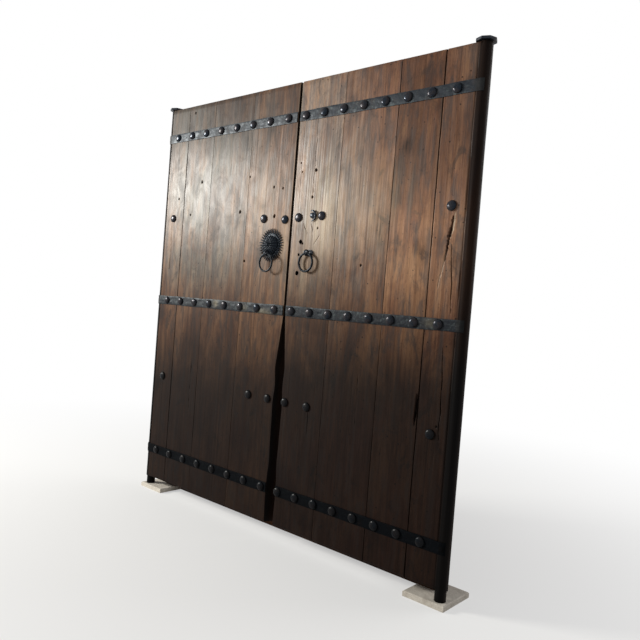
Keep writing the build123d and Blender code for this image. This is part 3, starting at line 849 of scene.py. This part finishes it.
def iron(name, seed, finish):
    """Blackened forged iron with hammer marks, pale scale, brown bloom, and darkening towards the floor that
    is partly dirt and partly painted shade, with painted shade where a band turns on to a heel.
    """
    rust_share, rough_low, rough_high, gain, specular, pale_share, bloom_low = IRON_FINISH[finish]
    metal = settings()[1]
    draw = random.Random(seed)
    offset = tuple(draw.uniform(-40, 40) for _ in range(3))
    n = Nodes(name)
    bloom = n.noise(28.0, offset, 5.0, 0.65)
    fine = n.noise(260.0, offset, 4.0, 0.6)
    dents = n.noise(95.0, offset[::-1], 1.5, 0.4)
    scale = n.noise(75.0, offset[::-1], 5.0, 0.7)
    color = n.mix(n.ramp(fine, 0.35, 0.7), tone(metal.black, 0.65 * gain), tone(metal.black, 1.35 * gain))
    color = n.mix(n.ramp(scale, 0.50, 0.68, 0.0, pale_share), color, metal.scale[:])
    color = n.mix(n.ramp(bloom, bloom_low, bloom_low + 0.22, 0.0, rust_share), color, metal.rust[:])
    color = n.mix(n.times(n.value("scab"), n.ramp(scale, 0.30, 0.60, 0.35, 1.0)), color, metal.scab[:])
    # Darker towards the floor, partly dirt and partly painted shade, and painted shade where a band turns on
    # to a heel
    dirt_and_shade = n.ramp(n.axes()["Z"], *IRON_DIRT_AND_SHADE_SPAN, IRON_DIRT_AND_SHADE_SHARE, 0.0)
    dirt_and_shade = n.math("MAXIMUM", dirt_and_shade, n.value("cavity"))
    color = n.mix(dirt_and_shade, color, n.mix(1.0, color, IRON_DIRT_AND_SHADE, "MULTIPLY"))
    rough = n.math("ADD", n.ramp(bloom, 0.35, 0.7, rough_low, rough_high), n.times(dirt_and_shade, 0.10))
    metallic = n.ramp(dirt_and_shade, 0.0, IRON_DIRT_AND_SHADE_SHARE, 0.35, 0.04)
    n.shade(Base_Color=color, Roughness=rough, Metallic=metallic, Specular_IOR_Level=specular)
    n.bump(n.math("ADD", n.times(dents, 0.8), n.times(fine, 0.2)), 0.45, 0.0015)
    return n.material


def stone(name):
    """Pale worn stone with grit and soft stains."""
    n = Nodes(name)
    grit = n.noise(180.0, (3.0, 1.0, 7.0), 5.0, 0.7)
    stains = n.noise(14.0, (9.0, 4.0, 2.0), 4.0, 0.6)
    color = n.mix(n.ramp(grit, 0.3, 0.7), (0.40, 0.36, 0.31), (0.56, 0.52, 0.46))
    color = n.mix(n.ramp(stains, 0.48, 0.75, 0.0, 0.6), color, (0.24, 0.20, 0.165))
    n.shade(Base_Color=color, Roughness=0.85)
    n.bump(grit, 0.5, 0.002)
    return n.material


# Planks


def slit(x, z, mark, wobble, ragged, core):
    """1 in the core of a slit from a top to a bottom point, and 0 off it. Both ends are pointed."""
    x0, z0, x1, z1, half = mark
    share = (z0 - z) / (z0 - z1)
    taper = np.sqrt(np.clip(share * (1 - share) * 4, 0, 1))
    width = half * taper * ragged + 1e-5
    middle = x0 + (x1 - x0) * share + wobble
    return np.where((share > 0) & (share < 1), np.clip(core - np.abs(x - middle) / width, 0, 1), 0)


def blot(x, z, mark):
    """1 in the middle of a soft mark, falling to 0 round it."""
    mark_x, mark_z, wide, tall = mark
    return np.exp(-(((x - mark_x) / wide) ** 2) - ((z - mark_z) / tall) ** 2)


def front_relief(node, x, z, seam_low, seam_high, strengths):
    """Depth, darkness and wear of a plank's front at points x, z. The darkness is stains, dark joints, knots
    and painted shade in cracks, nail marks, holes and hollows. Seams lie at the plank's two edges.
    """
    timber = settings()[0]
    seed = sum(ord(letter) * (i + 1) for i, letter in enumerate(node))
    waves = smooth_noise(x * 14 + 31, z * 2.2 + 17, seed) * timber.relief
    fibres = smooth_noise(x * 210, z * 5.5, seed + 1) * 0.0003
    grain = fibres + smooth_noise(x * 90, z * 1.6, seed + 2) * 0.0004
    depth = waves + grain
    cavity = np.zeros_like(x)
    worn = np.zeros_like(x)
    for edge, strength in ((seam_low, strengths[0]), (seam_high, strengths[1])):
        ragged = 0.55 + 0.9 * smooth_noise(z * 9 + 5 * edge, z * 0 + 40 * edge, seed + 3)
        away = np.abs(x - edge)
        reach = (SEAM_HALF[0] + SEAM_HALF[1] * strength) * ragged
        groove = np.clip(1 - away / reach, 0, 1)
        depth += groove * (SEAM_DEPTH[0] + SEAM_DEPTH[1] * strength) * ragged
        cavity = np.maximum(cavity, np.clip(groove * 1.9, 0, 1) * min(1.0, 0.25 + 0.85 * strength))
        arris = np.clip(1 - np.abs(away - reach * 1.5) / 0.004, 0, 1)
        worn = np.maximum(worn, arris * 0.25 * smooth_noise(z * 6, z * 0 + 9, seed + 4) * strength)
    for *mark, deep in CRACKS.get(node, ()):
        wobble = (smooth_noise(z * 16, z * 0 + mark[0] * 50, seed + 5) - 0.5) * 0.007
        ragged = 0.6 + 0.8 * smooth_noise(z * 40, z * 0 + 3, seed + 6)
        crack = slit(x, z, mark, wobble, ragged, 1.25)
        depth += crack * deep
        # A crack is painted dark as shade
        cavity = np.maximum(cavity, crack * 0.95)
    for px, pz, radius, deep in PITS.get(node, ()):
        far = np.hypot(x - px, (z - pz) * 0.85) / radius
        hollow = np.clip(1.3 - far, 0, 1)
        depth += hollow * deep
        # Nail marks are painted dark as shade, knots in their own dark
        cavity = np.maximum(cavity, np.clip(hollow * 1.6, 0, 1))
    for *mark, strength in STAINS.get(node, ()):
        fibres = 1.2 * smooth_noise(x * 170, z * 26, seed + 11)
        broken = 0.15 + fibres * smooth_noise(x * 60, z * 40, seed + 12)
        cavity = np.maximum(cavity, strength * np.clip(blot(x, z, mark) * 2.2 * broken, 0, 1))
    if node == "right_meeting_plank":
        for kind, px, pz, half, deep in OLD_HOLES:
            dx, dz = np.abs(x - px), np.abs(z - pz)
            far = {"lozenge": dx + dz, "square": np.maximum(dx, dz), "round": np.hypot(dx, dz)}[kind]
            depth = np.where(far < half, deep, depth)
            # The hole and a thin rim round it are painted dark as shade
            cavity = np.where(far < half + HOLE_RIM, 1.0, cavity)
    if node == "right_hinge_stile":
        for *mark, deep, dark, bare in SPLINTER:
            wobble = (smooth_noise(z * 34, z * 0 + mark[0], seed + 7) - 0.5) * 0.005
            ragged = 0.3 + 1.4 * smooth_noise(z * 150, x * 160 + mark[4], seed + 10)
            scoop = slit(x, z, mark, wobble, ragged, 1.3)
            depth += scoop * deep
            # The hollows are painted dark as shade
            cavity = np.maximum(cavity, scoop * dark)
            worn = np.maximum(worn, scoop * bare)
    for *mark, strength in HAND_WEAR:
        broken = 0.25 + 1.1 * smooth_noise(x * 46, z * 3.2, seed + 8) * smooth_noise(x * 13, z * 5, seed + 9)
        worn = np.maximum(worn, blot(x, z, mark) * strength * np.clip(broken, 0, 1))
    foot = np.clip(1 - (z - LEAF_LOW.z) / FOOT_EASE, 0, 1) ** 2
    crown = np.clip(1 - (LEAF_HIGH.z - z) / TOP_EASE, 0, 1) ** 2
    depth += (foot + crown) * EASE_DEPTH
    return depth, cavity, worn


def meeting_wear(z, width):
    """How far a meeting edge is worn back at each height."""
    return width * np.clip((WEAR_START - z) / (WEAR_START - WEAR_FULL), 0, 1)


def plank_piece(side, name, index):
    """One plank: a closed form with a modelled front, and for the outer one its heel and pivots."""
    node = f"{side}_{name}"
    low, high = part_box(node)
    axis_x, axis_y = PIVOT[side][0], PIVOT[side][1]
    sign = INWARD[side]
    near, far = sorted(sign * (x - axis_x) for x in (low.x, high.x))
    stile = name == "hinge_stile"
    meeting = name == "meeting_plank"
    near = 0.0 if stile else near
    marks = PITS.get(node, []) + [hole[1:] for hole in OLD_HOLES if node == "right_meeting_plank"]
    across, up = [], []
    for mark_x, mark_z, radius, _ in marks:
        middle = sign * (mark_x - axis_x)
        across.append((middle - MARK_REACH * radius, middle + MARK_REACH * radius))
        up.append((mark_z - MARK_REACH * radius, mark_z + MARK_REACH * radius))
    if node == "right_hinge_stile":
        across.append(tuple(sorted(sign * (x - axis_x) for x in SPLINTER_SPAN[0])))
        up.append(SPLINTER_SPAN[1])
    across += [(near, near + FINE_EDGE), (far - FINE_EDGE, far)]
    up.append((LEAF_LOW.z, LEAF_LOW.z + FINE_FOOT))
    u = spaced(near, far, settings()[0].step, across, FINE_STEP)
    z = spaced(LEAF_LOW.z, LEAF_HIGH.z, ROW_STEP, up, FINE_ROW)
    grid_u, grid_z = np.meshgrid(u, z)
    strengths = (HEEL_SEAM, *SEAM_STRENGTH[side], MEETING_SEAM)[index : index + 2]
    quirk = HEEL_EDGE[side] if stile else near
    seams = [axis_x + sign * quirk, axis_x + sign * far]
    depth, cavity, worn = front_relief(node, axis_x + sign * grid_u, grid_z, *seams, strengths)
    if stile:
        # Grease and painted shade on the front's strip beside the heel
        rim = HEEL_EDGE[side] * (0.85 + 0.3 * smooth_noise(grid_z * 7, grid_z * 0 + 6, 93))
        cavity = np.maximum(cavity, HEEL_GREASE_AND_SHADE * np.clip(1.5 - grid_u / rim, 0, 1))
        worn = np.where(grid_u < rim, 0.0, worn)
    back_far = np.full(len(z), far)
    if meeting:
        pull = np.clip((grid_u - (far - WEAR_PULL)) / WEAR_PULL, 0, 1)
        ragged = 1 + 0.35 * (smooth_noise(grid_z * 11, grid_z * 0 + 2, 77 + index) - 0.5)
        grid_u = grid_u - pull * meeting_wear(grid_z, WEAR_FRONT[side]) * ragged
        back_far = far - meeting_wear(z, WEAR_BACK)
        pale = np.clip(1 - (far - u)[None, :] / WEAR_PALE, 0, 1) * 0.35
        worn = np.maximum(worn, pale * (grid_z > 0.9))
    rows = len(z)
    front = np.stack([axis_x + sign * grid_u, FRONT_Y + depth, grid_z], -1)
    turns = [(back_far, BACK_EASE), (back_far - BACK_EASE, 0.0)]
    if not stile:
        turns.append((np.full(rows, near + BACK_EASE), 0.0))
    turns.append((np.full(rows, near), 0.0 if stile else BACK_EASE))
    corners = []
    for reach, short in turns:
        corners.append(np.stack([axis_x + sign * reach, np.full(rows, high.y - short), z], -1))
    if stile:
        radius = axis_y - FRONT_Y
        for i in range(1, HEEL_STEPS):
            turn = math.pi * i / HEEL_STEPS
            shrink = radius - smooth_noise(z * 4 + turn * 9, z * 0 + turn * 5, 91) * 0.0012
            x = axis_x - sign * shrink * math.sin(turn)
            y = axis_y + shrink * math.cos(turn)
            corners.append(np.stack([x, y, z], -1))
    ring = np.concatenate([front, np.stack(corners, 1)], 1)
    count = ring.shape[1]
    shape = Shape()
    shape.add(*loft(ring))
    # Grease and painted shade on the heel, the stile's back and the pivots, and painted shade in the meeting
    # edge
    pad = np.zeros((rows, count - len(u)))
    grease_and_shade = pad + (HEEL_GREASE_AND_SHADE if stile else 0.0)
    if meeting:
        cavity[:, -1] = np.maximum(cavity[:, -1], EDGE_SHADE)
        grease_and_shade[:, 0] = EDGE_SHADE
    cavity = np.concatenate([cavity, grease_and_shade], 1).ravel()
    worn = np.concatenate([worn, pad], 1).ravel()
    if stile:
        for profile in pivot_profiles(low.z, high.z):
            shape.add(*lathe(profile, 40), Matrix.Translation((axis_x, axis_y, 0)))
        extra = np.zeros(len(shape.vertices) - len(cavity))
        cavity, worn = np.concatenate([cavity, extra + HEEL_GREASE_AND_SHADE]), np.concatenate([worn, extra])
    gain, gold, polish, silver_and_sheen, top_shade = PLANK_TONE[node]
    seed = 101 + 7 * index + (50 if side == "right" else 0)
    span = (axis_x + sign * near, axis_x + sign * far)
    top_shade = (*TOP_SHADE_SPAN[side], top_shade)
    front_dirt_and_shade = FRONT_DIRT_AND_SHADE[side][index]
    material = wood(f"{node}_wood", seed, gain, gold, "Z", polish, silver_and_sheen, span, top_shade, BACK_SOIL, front_dirt_and_shade)
    values = (("cavity", cavity), ("worn", worn))
    piece = new_object(f"{node}_aged", *shape.form(), material, values)
    settle(piece, f"{side}_leaf", node)


def pivot_profiles(low_z, high_z):
    """The two pivots of a hinge stile, with rounded ends, as (radius, z) points."""
    radius, ease = PIVOT_RADIUS, PIVOT_EASE
    foot_top, head_low = LEAF_LOW.z + ease, LEAF_HIGH.z - ease
    foot = [(0, low_z), (radius - ease, low_z), (radius, low_z + ease), (radius, foot_top), (0, foot_top)]
    head = [(0, head_low), (radius, head_low), (radius, high_z - ease), (radius - ease, high_z), (0, high_z)]
    return foot, head


# Iron


def islands(node):
    """The boxes of a node's separate solids, as (lowest corner, highest corner)."""
    mesh = NODES[node].data
    parent = list(range(len(mesh.vertices)))
    same = {}

    def root(i):
        while parent[i] != i:
            parent[i] = parent[parent[i]]
            i = parent[i]
        return i

    for i, vertex in enumerate(mesh.vertices):
        key = tuple(round(c, 5) for c in vertex.co)
        parent[root(i)] = root(same.setdefault(key, i))
    for edge in mesh.edges:
        parent[root(edge.vertices[0])] = root(edge.vertices[1])
    groups = {}
    for i, vertex in enumerate(mesh.vertices):
        groups.setdefault(root(i), []).append(vertex.co)
    boxes = []
    for points in groups.values():
        low = Vector([min(p[a] for p in points) for a in range(3)])
        high = Vector([max(p[a] for p in points) for a in range(3)])
        boxes.append((low, high))
    return sorted(boxes, key=lambda box: (round(box[0].z, 3), box[0].x))


def forge(name, label, form, finish, seed, body, node, values=()):
    """An iron piece from points and faces, with a material of its own, in place of a node."""
    piece = new_object(name, *form, iron(f"{label}_iron", seed, finish), values)
    settle(piece, body, node)


def dome_profile(radius, height, rings=8):
    """A low forged dome with a soft rim, from the seat to the top."""
    points = [(0, 0.0), (radius * 0.98, 0.0)]
    for i in range(rings):
        turn = math.pi / 2 * i / rings
        points.append((radius * math.cos(turn) ** 0.8, height * (0.12 + 0.88 * math.sin(turn))))
    return points + [(0, height)]


def forged_domes(name, node, body, height, seed, count=28, upward=False):
    """Hand-forged domes in place of a node's studs or nails, on the front or looking up."""
    draw = random.Random(seed)
    wobble_share = settings()[1].stud_wobble
    shape = Shape()
    for low, high in islands(node):
        middle = (low + high) / 2
        radius = (high.x - low.x) / 2
        seat = Matrix.Translation((middle.x, middle.y, high.z - height))
        if not upward:
            seat = facing_out(middle.x, low.y + height, middle.z)
        phase = draw.uniform(0, 6)

        def wobble(turn, z, phase=phase):
            wave = 0.5 * math.sin(3 * turn + phase) * math.cos(2 * turn + 2 * phase)
            return 1 - wobble_share * (0.5 + wave)

        size = DOME_WIDTH - draw.uniform(0, wobble_share)
        tilts = [Matrix.Rotation(draw.uniform(-DOME_LEAN, DOME_LEAN), 4, axis) for axis in "XY"]
        dome = lathe(dome_profile(radius * size, height * DOME_RISE), count, wobble)
        shape.add(*dome, seat @ (tilts[0] @ tilts[1]))
    forge(name, name, shape.form(), "dome", seed, body, node)


def facing_out(x, y, z):
    """A place on the front, with +Z of the piece pointing out of the leaf."""
    return Matrix.Translation((x, y, z)) @ Matrix.Rotation(math.pi / 2, 4, "X")


def dress(node, material, bevel=0.0):
    """Gives a carried-over node its material and soft edges."""
    piece = NODES[node]
    piece.data.materials.clear()
    piece.data.materials.append(material)
    if bevel:
        modifier = piece.modifiers.new("soft_edges", "BEVEL")
        modifier.width = bevel
        modifier.segments = 2
        modifier.limit_method = "ANGLE"
        modifier.angle_limit = math.radians(40)
        modifier.harden_normals = True


class GATE_OT_planks(bpy.types.Operator):
    """Builds the aged planks of both leaves."""

    bl_idname = "gate.planks"
    bl_label = "Aged planks"

    def execute(self, context):
        for side in SIDES:
            for index, name in enumerate(PLANKS):
                plank_piece(side, name, index)
        return {"FINISHED"}


class GATE_OT_back(bpy.types.Operator):
    """Dresses the ledges, keepers and sliding bar on the back."""

    bl_idname = "gate.back"
    bl_label = "Ledges and bar"

    def execute(self, context):
        for side in SIDES:
            ledge_wood = wood(f"{side}_ledge_wood", 301 if side == "left" else 302, 0.95, 0.4, "X", soil=0.5)
            for name in LEDGES:
                dress(f"{side}_{name}", ledge_wood, 0.002)
        keeper_wood = wood("keeper_wood", 311, 0.85, 0.35, "Z")
        for node in ("left_far_keeper", "left_near_keeper", "right_keeper"):
            dress(node, keeper_wood, 0.002)
        dress("bar", wood("bar_wood", 312, 1.05, 0.7, "X"), 0.002)
        dress("bar_peg", wood("bar_peg_wood", 313, 1.1, 0.8, "Y"), 0.0015)
        return {"FINISHED"}


class GATE_OT_bands(bpy.types.Operator):
    """Builds the six hammered iron bands, which turn on to the heels."""

    bl_idname = "gate.bands"
    bl_label = "Iron bands"

    def execute(self, context):
        for side in SIDES:
            for index, name in enumerate(BANDS):
                self.band(side, name, 401 + 10 * index + SIDES.index(side))
        return {"FINISHED"}

    def band(self, side, name, seed):
        """One band: a strip with uneven edges and a hammered face, darkened with grease and painted shade
        where it turns on to the heel.
        """
        node = f"{side}_{name}"
        low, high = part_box(node)
        axis_x, axis_y = PIVOT[side][0], PIVOT[side][1]
        sign = INWARD[side]
        end = max(sign * (x - axis_x) for x in (low.x, high.x))
        radius, thick, half = axis_y - FRONT_Y, FRONT_Y - low.y, (high.z - low.z) / 2
        bend = np.linspace(-radius * BAND_WRAP, 0, 9)[:-1]
        run = np.concatenate([bend, np.linspace(0, end, int(end / 0.007))])
        turn = np.clip(-run / radius, 0, None)
        middle_x = axis_x + sign * np.where(run > 0, run, -radius * np.sin(turn))
        middle_y = np.where(run > 0, FRONT_Y, axis_y - radius * np.cos(turn))
        out_x, out_y = -sign * np.sin(turn), -np.cos(turn)
        across = np.linspace(-1, 1, 13)
        rows = []
        for lift, shares in ((1.0, across), (-0.1, across[::-1])):
            for share in shares:
                edge = half - 0.0022 * smooth_noise(run * 13 + 7, run * 0 + 3 * (share > 0), seed)
                dent = 0.0014 * smooth_noise(run * 55, run * 0 + share * 2.5 + 9, seed + 1)
                dent = dent + 0.0009 * abs(share) ** 6
                height = thick - dent if lift > 0 else -0.0004
                z = (low.z + high.z) / 2 + share * edge
                rows.append(np.stack([middle_x + out_x * height, middle_y + out_y * height, z + run * 0], -1))
        ring = np.stack(rows, 1)
        scab = np.zeros(ring.shape[:2])
        for x, long, up, strength in BAND_SCABS.get(node, ()):
            beside = (ring[..., 0] - x) / long
            above = ((ring[..., 2] - (low.z + high.z) / 2) / half - up) / 0.7
            away = beside**2 + above**2
            scab = np.maximum(scab, strength * np.exp(-away))
        # Grease and painted shade where the band turns on to the heel and a little past it
        grease_and_shade = np.repeat(HEEL_GREASE_AND_SHADE * np.clip(1.5 - run / HEEL_EDGE[side], 0, 1), ring.shape[1])
        values = (("scab", scab.ravel()), ("cavity", grease_and_shade))
        forge(f"{node}_forged", node, loft(ring), name, seed, f"{side}_leaf", node, values)


class GATE_OT_studs(bpy.types.Operator):
    """Builds the forged studs of both leaves."""

    bl_idname = "gate.studs"
    bl_label = "Forged studs"

    def execute(self, context):
        for index, side in enumerate(SIDES):
            for place, seed in (("band", 21), ("row", 31)):
                name = f"{side}_{place}"
                forged_domes(f"{name}_domes", f"{name}_studs", f"{side}_leaf", STUD_HEIGHT, seed + index)
        return {"FINISHED"}


class GATE_OT_broken_stud(bpy.types.Operator):
    """Builds the broken stud with its bent spike."""

    bl_idname = "gate.broken_stud"
    bl_label = "Broken stud"

    def execute(self, context):
        low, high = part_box("right_broken_stud")
        x, z = low.x + BROKEN_MIDDLE[0], high.z - BROKEN_MIDDLE[1]
        shape = Shape()

        def chipped(turn, height):
            return 0.88 + 0.12 * math.cos(2 * turn + 0.6)

        shape.add(*lathe(dome_profile(*BROKEN_HEAD), 24, chipped), facing_out(x, FRONT_Y, z))
        path, radii = [], []
        for i, (dx, dz, radius) in enumerate(BROKEN_SPIKE):
            path.append((x + dx, FRONT_Y - 0.0065 - 0.002 * math.sin(i), z + dz))
            radii.append(radius)
        shape.add(*tube(path, radii, 10))
        node = "right_broken_stud"
        forge(f"{node}_forged", "broken_stud", shape.form(), "broken_stud", 51, "right_leaf", node)
        return {"FINISHED"}


class GATE_OT_rosette(bpy.types.Operator):
    """Builds the rosette plate of the knocker: a rim of petals and a boss of curled petals."""

    bl_idname = "gate.rosette"
    bl_label = "Knocker rosette"

    def execute(self, context):
        low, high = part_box("left_knocker_rosette")
        x, z = (low.x + high.x) / 2, (low.z + high.z) / 2
        reach = (high.x - low.x) / 2
        place = facing_out(x, FRONT_Y, z)
        shape = Shape()
        shape.add(*lathe(PLATE, 68), place)
        self.petals(shape, place, RIM_COUNT, (RIM_START, 0, RIM_LIFT), 0.0, (reach - RIM_OFF, *RIM_PETAL))
        circle = np.linspace(0, 2 * math.pi, 72, False)
        roll = [(ROLL_RADIUS * math.cos(a), ROLL_RADIUS * math.sin(a), ROLL_HEIGHT) for a in circle]
        shape.add(*tube(roll, [ROLL_THICK] * len(roll), 12, closed=True), place)
        boss = [(0, BOSS_BASE), (BOSS_RADIUS, BOSS_BASE)]
        for i in range(1, 9):
            rise = i * math.pi / 18
            boss.append((BOSS_RADIUS * math.cos(rise), 0.004 + 0.018 * math.sin(rise)))
        shape.add(*lathe(boss + [(0, BOSS_TOP)], 48), place)
        for radius, height, count, length, width, tilt in BOSS_PETALS:
            self.petals(shape, place, count, (radius, 0, height), tilt, (length, width, *BOSS_PETAL))
        shape.add(*lathe([(r, BUTTON_SEAT + h) for r, h in dome_profile(*BUTTON)], 24), place)
        node = "left_knocker_rosette"
        forge("left_rosette_forged", "rosette", shape.form(), "rosette", 61, "left_leaf", node)
        return {"FINISHED"}

    def petals(self, shape, place, count, start, tilt, sizes):
        """A ring of petals, each starting away from the middle and tipped down by tilt."""
        seat = Matrix.Translation(start) @ Matrix.Rotation(tilt, 4, "Y")
        for i in range(count):
            turn = Matrix.Rotation(2 * math.pi * i / count, 4, "Z")
            shape.add(*petal(*sizes), place @ turn @ seat)


class GATE_OT_rings(bpy.types.Operator):
    """Builds the two rings, their eyes, and the right ring's plate and nails."""

    bl_idname = "gate.rings"
    bl_label = "Rings and eyes"

    def execute(self, context):
        for index, side in enumerate(SIDES):
            self.ring(side, index)
            self.eye(side, index)
        dress("right_ring_plate", iron("ring_plate_iron", 75, "eye"), 0.0008)
        forged_domes("right_plate_nail_heads", "right_ring_plate_nails", "right_leaf", NAIL_HEIGHT, 76, 16)
        return {"FINISHED"}

    def ring(self, side, index):
        """A ring of hand-drawn bar, a little uneven."""
        low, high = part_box(f"{side}_ring")
        bar = (high.y - low.y) / 2
        middle = (low + high) / 2
        radius = (high.z - low.z) / 2 - bar
        path, radii = [], []
        for i in range(RING_STEPS):
            turn = 2 * math.pi * i / RING_STEPS
            path.append((middle.x + radius * math.sin(turn), middle.y, middle.z + radius * math.cos(turn)))
            radii.append(bar * (0.955 + 0.035 * math.sin(3 * turn + index) * math.cos(5 * turn)))
        name = f"{side}_ring"
        forge(f"{name}_forged", name, tube(path, radii, 16, closed=True), "ring", 71 + index, name, name)

    def eye(self, side, index):
        """An eye of flattened bar with a neck into the leaf."""
        x, y, z = JOINTS[f"{side}_ring_swing"]["pos_m"]
        low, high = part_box(f"{side}_ring")
        bar = (high.y - low.y) / 2
        radius = bar + EYE_ROOM + EYE_WALL / 2
        turns = [2 * math.pi * i / EYE_STEPS for i in range(EYE_STEPS)]
        path = [(x, y + radius * math.sin(turn), z + radius * math.cos(turn)) for turn in turns]
        flatten = EYE_WALL / 2 / EYE_HALF * 0.98
        shape = Shape()
        shape.add(*tube(path, [EYE_HALF] * EYE_STEPS, 14, closed=True, flatten=flatten))
        start, end = y + radius + 0.0005, FRONT_Y + 0.004
        neck = [(x, start + (end - start) * i / 5, z) for i in range(6)]
        shape.add(*tube(neck, NECK_RADII, 12))
        name = f"{side}_eye"
        forge(f"{name}_forged", name, shape.form(), "eye", 81 + index, f"{side}_leaf", f"{side}_ring_eye")


class GATE_OT_surround(bpy.types.Operator):
    """Dresses the frame, its pegs, the pivot straps with their nails, and the socket stones."""

    bl_idname = "gate.surround"
    bl_label = "Frame and pivots"

    def execute(self, context):
        socket_stone = stone("socket_stone_worn")
        for index, side in enumerate(SIDES):
            dress(f"{side}_jamb", wood(f"{side}_jamb_wood", 501 + index, 0.8, 0.3, soil=0.55), 0.0025)
            dress(f"{side}_pivot_strap", iron(f"{side}_strap_iron", 511 + index, "strap"), 0.001)
            dress(f"{side}_pivot_socket", socket_stone, 0.003)
        dress("head_beam", wood("head_beam_wood", 503, 0.8, 0.3, "X"), 0.0025)
        dress("threshold", wood("threshold_wood", 504, 0.85, 0.55, "X", soil=0.6), 0.0025)
        dress("frame_pegs", wood("frame_peg_wood", 505, 1.0, 0.5, "Y"), 0.0006)
        forged_domes("strap_nail_heads", "strap_nails", "frame", NAIL_HEIGHT, 91, 16, upward=True)
        return {"FINISHED"}


def area_light(name, place, target, width, height, power, color=(1, 1, 1)):
    """A soft rectangular light that points at a target."""
    light = bpy.data.lights.new(name, "AREA")
    light.shape = "RECTANGLE"
    light.size, light.size_y = width, height
    light.energy = power
    light.color = color
    lamp = bpy.data.objects.new(name, light)
    bpy.context.scene.collection.objects.link(lamp)
    direction = Vector(target) - Vector(place)
    turn = direction.to_track_quat("-Z", "Y").to_matrix().to_4x4()
    lamp.matrix_world = Matrix.Translation(place) @ turn


def seen_rays(tree):
    """An output that is 1 for rays from the camera, from reflections and through glass."""
    rays = tree.nodes.new("ShaderNodeLightPath").outputs
    seen = rays["Is Camera Ray"]
    for name in ("Is Glossy Ray", "Is Transmission Ray"):
        most = tree.nodes.new("ShaderNodeMath")
        most.operation = "MAXIMUM"
        tree.links.new(seen, most.inputs[0])
        tree.links.new(rays[name], most.inputs[1])
        seen = most.outputs["Value"]
    return seen


class GATE_OT_stage(bpy.types.Operator):
    """Sets the floor, the soft light from the left and the camera."""

    bl_idname = "gate.stage"
    bl_label = "Stage"

    def execute(self, context):
        stage = settings()[2]
        self.floor(stage)
        self.world(context)
        area_light("window", *WINDOW, stage.key_power, WINDOW_COLOR)
        area_light("fill", *FILL, FILL_POWER)
        self.camera(stage)
        context.scene.view_settings.view_transform = "Standard"
        return {"FINISHED"}

    def floor(self, stage):
        """The pale floor."""
        n = Nodes("pale_floor")
        n.shade(Base_Color=(*stage.floor, 1), Roughness=0.9)
        self.fade_to_white(n)
        corners = [(x * FLOOR_HALF, y * FLOOR_HALF, 0) for x, y in ((-1, -1), (1, -1), (1, 1), (-1, 1))]
        new_object("floor", corners, [[0, 1, 2, 3]], n.material)

    def fade_to_white(self, n):
        """Turns the floor into the white background away from the gate, where it is seen."""
        far = n.node("ShaderNodeVectorMath", {0: n.here()}, operation="LENGTH").outputs["Value"]
        share = n.times(seen_rays(n.tree), n.ramp(far, *FLOOR_FADE, 0.45, 1.0))
        white = n.node("ShaderNodeEmission").outputs["Emission"]
        mixed = n.node("ShaderNodeMixShader", {0: share, 1: n.shader.outputs["BSDF"], 2: white})
        n.feed(n.tree.nodes["Material Output"].inputs["Surface"], mixed.outputs["Shader"])

    def world(self, context):
        """White surroundings, dimmer as light than where they are seen."""
        world = bpy.data.worlds.new("studio")
        context.scene.world = world
        world.use_nodes = True
        tree = world.node_tree
        background = tree.nodes["Background"]
        background.inputs["Color"].default_value = (1, 1, 1, 1)
        strength = tree.nodes.new("ShaderNodeMapRange")
        strength.inputs["To Min"].default_value = AMBIENT
        strength.inputs["To Max"].default_value = 1.0
        tree.links.new(seen_rays(tree), strength.inputs["Value"])
        tree.links.new(strength.outputs["Result"], background.inputs["Strength"])

    def camera(self, stage):
        """The camera, turned by yaw, pitch and roll."""
        data = bpy.data.cameras.new("view")
        data.sensor_width = 36.0
        data.sensor_fit = "HORIZONTAL"
        data.lens = stage.lens
        eye = bpy.data.objects.new("view", data)
        bpy.context.scene.collection.objects.link(eye)
        yaw, pitch, roll = (math.radians(a) for a in CAMERA_TURN)
        ahead = Vector((-math.sin(yaw) * math.cos(pitch), math.cos(yaw) * math.cos(pitch), math.sin(pitch)))
        level = Vector((math.cos(yaw), math.sin(yaw), 0))
        upright = level.cross(ahead)
        right = level * math.cos(roll) + upright * math.sin(roll)
        up = upright * math.cos(roll) - level * math.sin(roll)
        turn = Matrix((right, up, -ahead)).transposed().to_4x4()
        eye.matrix_world = Matrix.Translation(CAMERA_PLACE) @ turn
        bpy.context.scene.camera = eye


OPERATORS = (
    GATE_OT_planks,
    GATE_OT_back,
    GATE_OT_bands,
    GATE_OT_studs,
    GATE_OT_broken_stud,
    GATE_OT_rosette,
    GATE_OT_rings,
    GATE_OT_surround,
    GATE_OT_stage,
)


class GATE_PT_panel(bpy.types.Panel):
    """Lists the gate's pieces in the sidebar."""

    bl_idname = "GATE_PT_panel"
    bl_label = "Plank Gate"
    bl_space_type = "VIEW_3D"
    bl_region_type = "UI"
    bl_category = "Plank Gate"

    def draw(self, context):
        for operator in OPERATORS:
            self.layout.operator(operator.bl_idname)
        for group in settings():
            for key in group.__annotations__:
                self.layout.prop(group, key)


GROUPS = {"gate_timber": GateTimber, "gate_iron": GateIron, "gate_stage": GateStage}


def register():
    """Registers the settings, the operators and the panel."""
    for key, group in GROUPS.items():
        bpy.utils.register_class(group)
        setattr(bpy.types.Scene, key, bpy.props.PointerProperty(type=group))
    for cls in (*OPERATORS, GATE_PT_panel):
        bpy.utils.register_class(cls)


def unregister():
    """Takes them away again."""
    for cls in (GATE_PT_panel, *reversed(OPERATORS)):
        bpy.utils.unregister_class(cls)
    for key, group in GROUPS.items():
        delattr(bpy.types.Scene, key)
        bpy.utils.unregister_class(group)


def main():
    """Builds the gate's looks."""
    register()
    for operator in OPERATORS:
        group, name = operator.bl_idname.split(".")
        getattr(getattr(bpy.ops, group), name)()


if __name__ == "__main__":
    main()
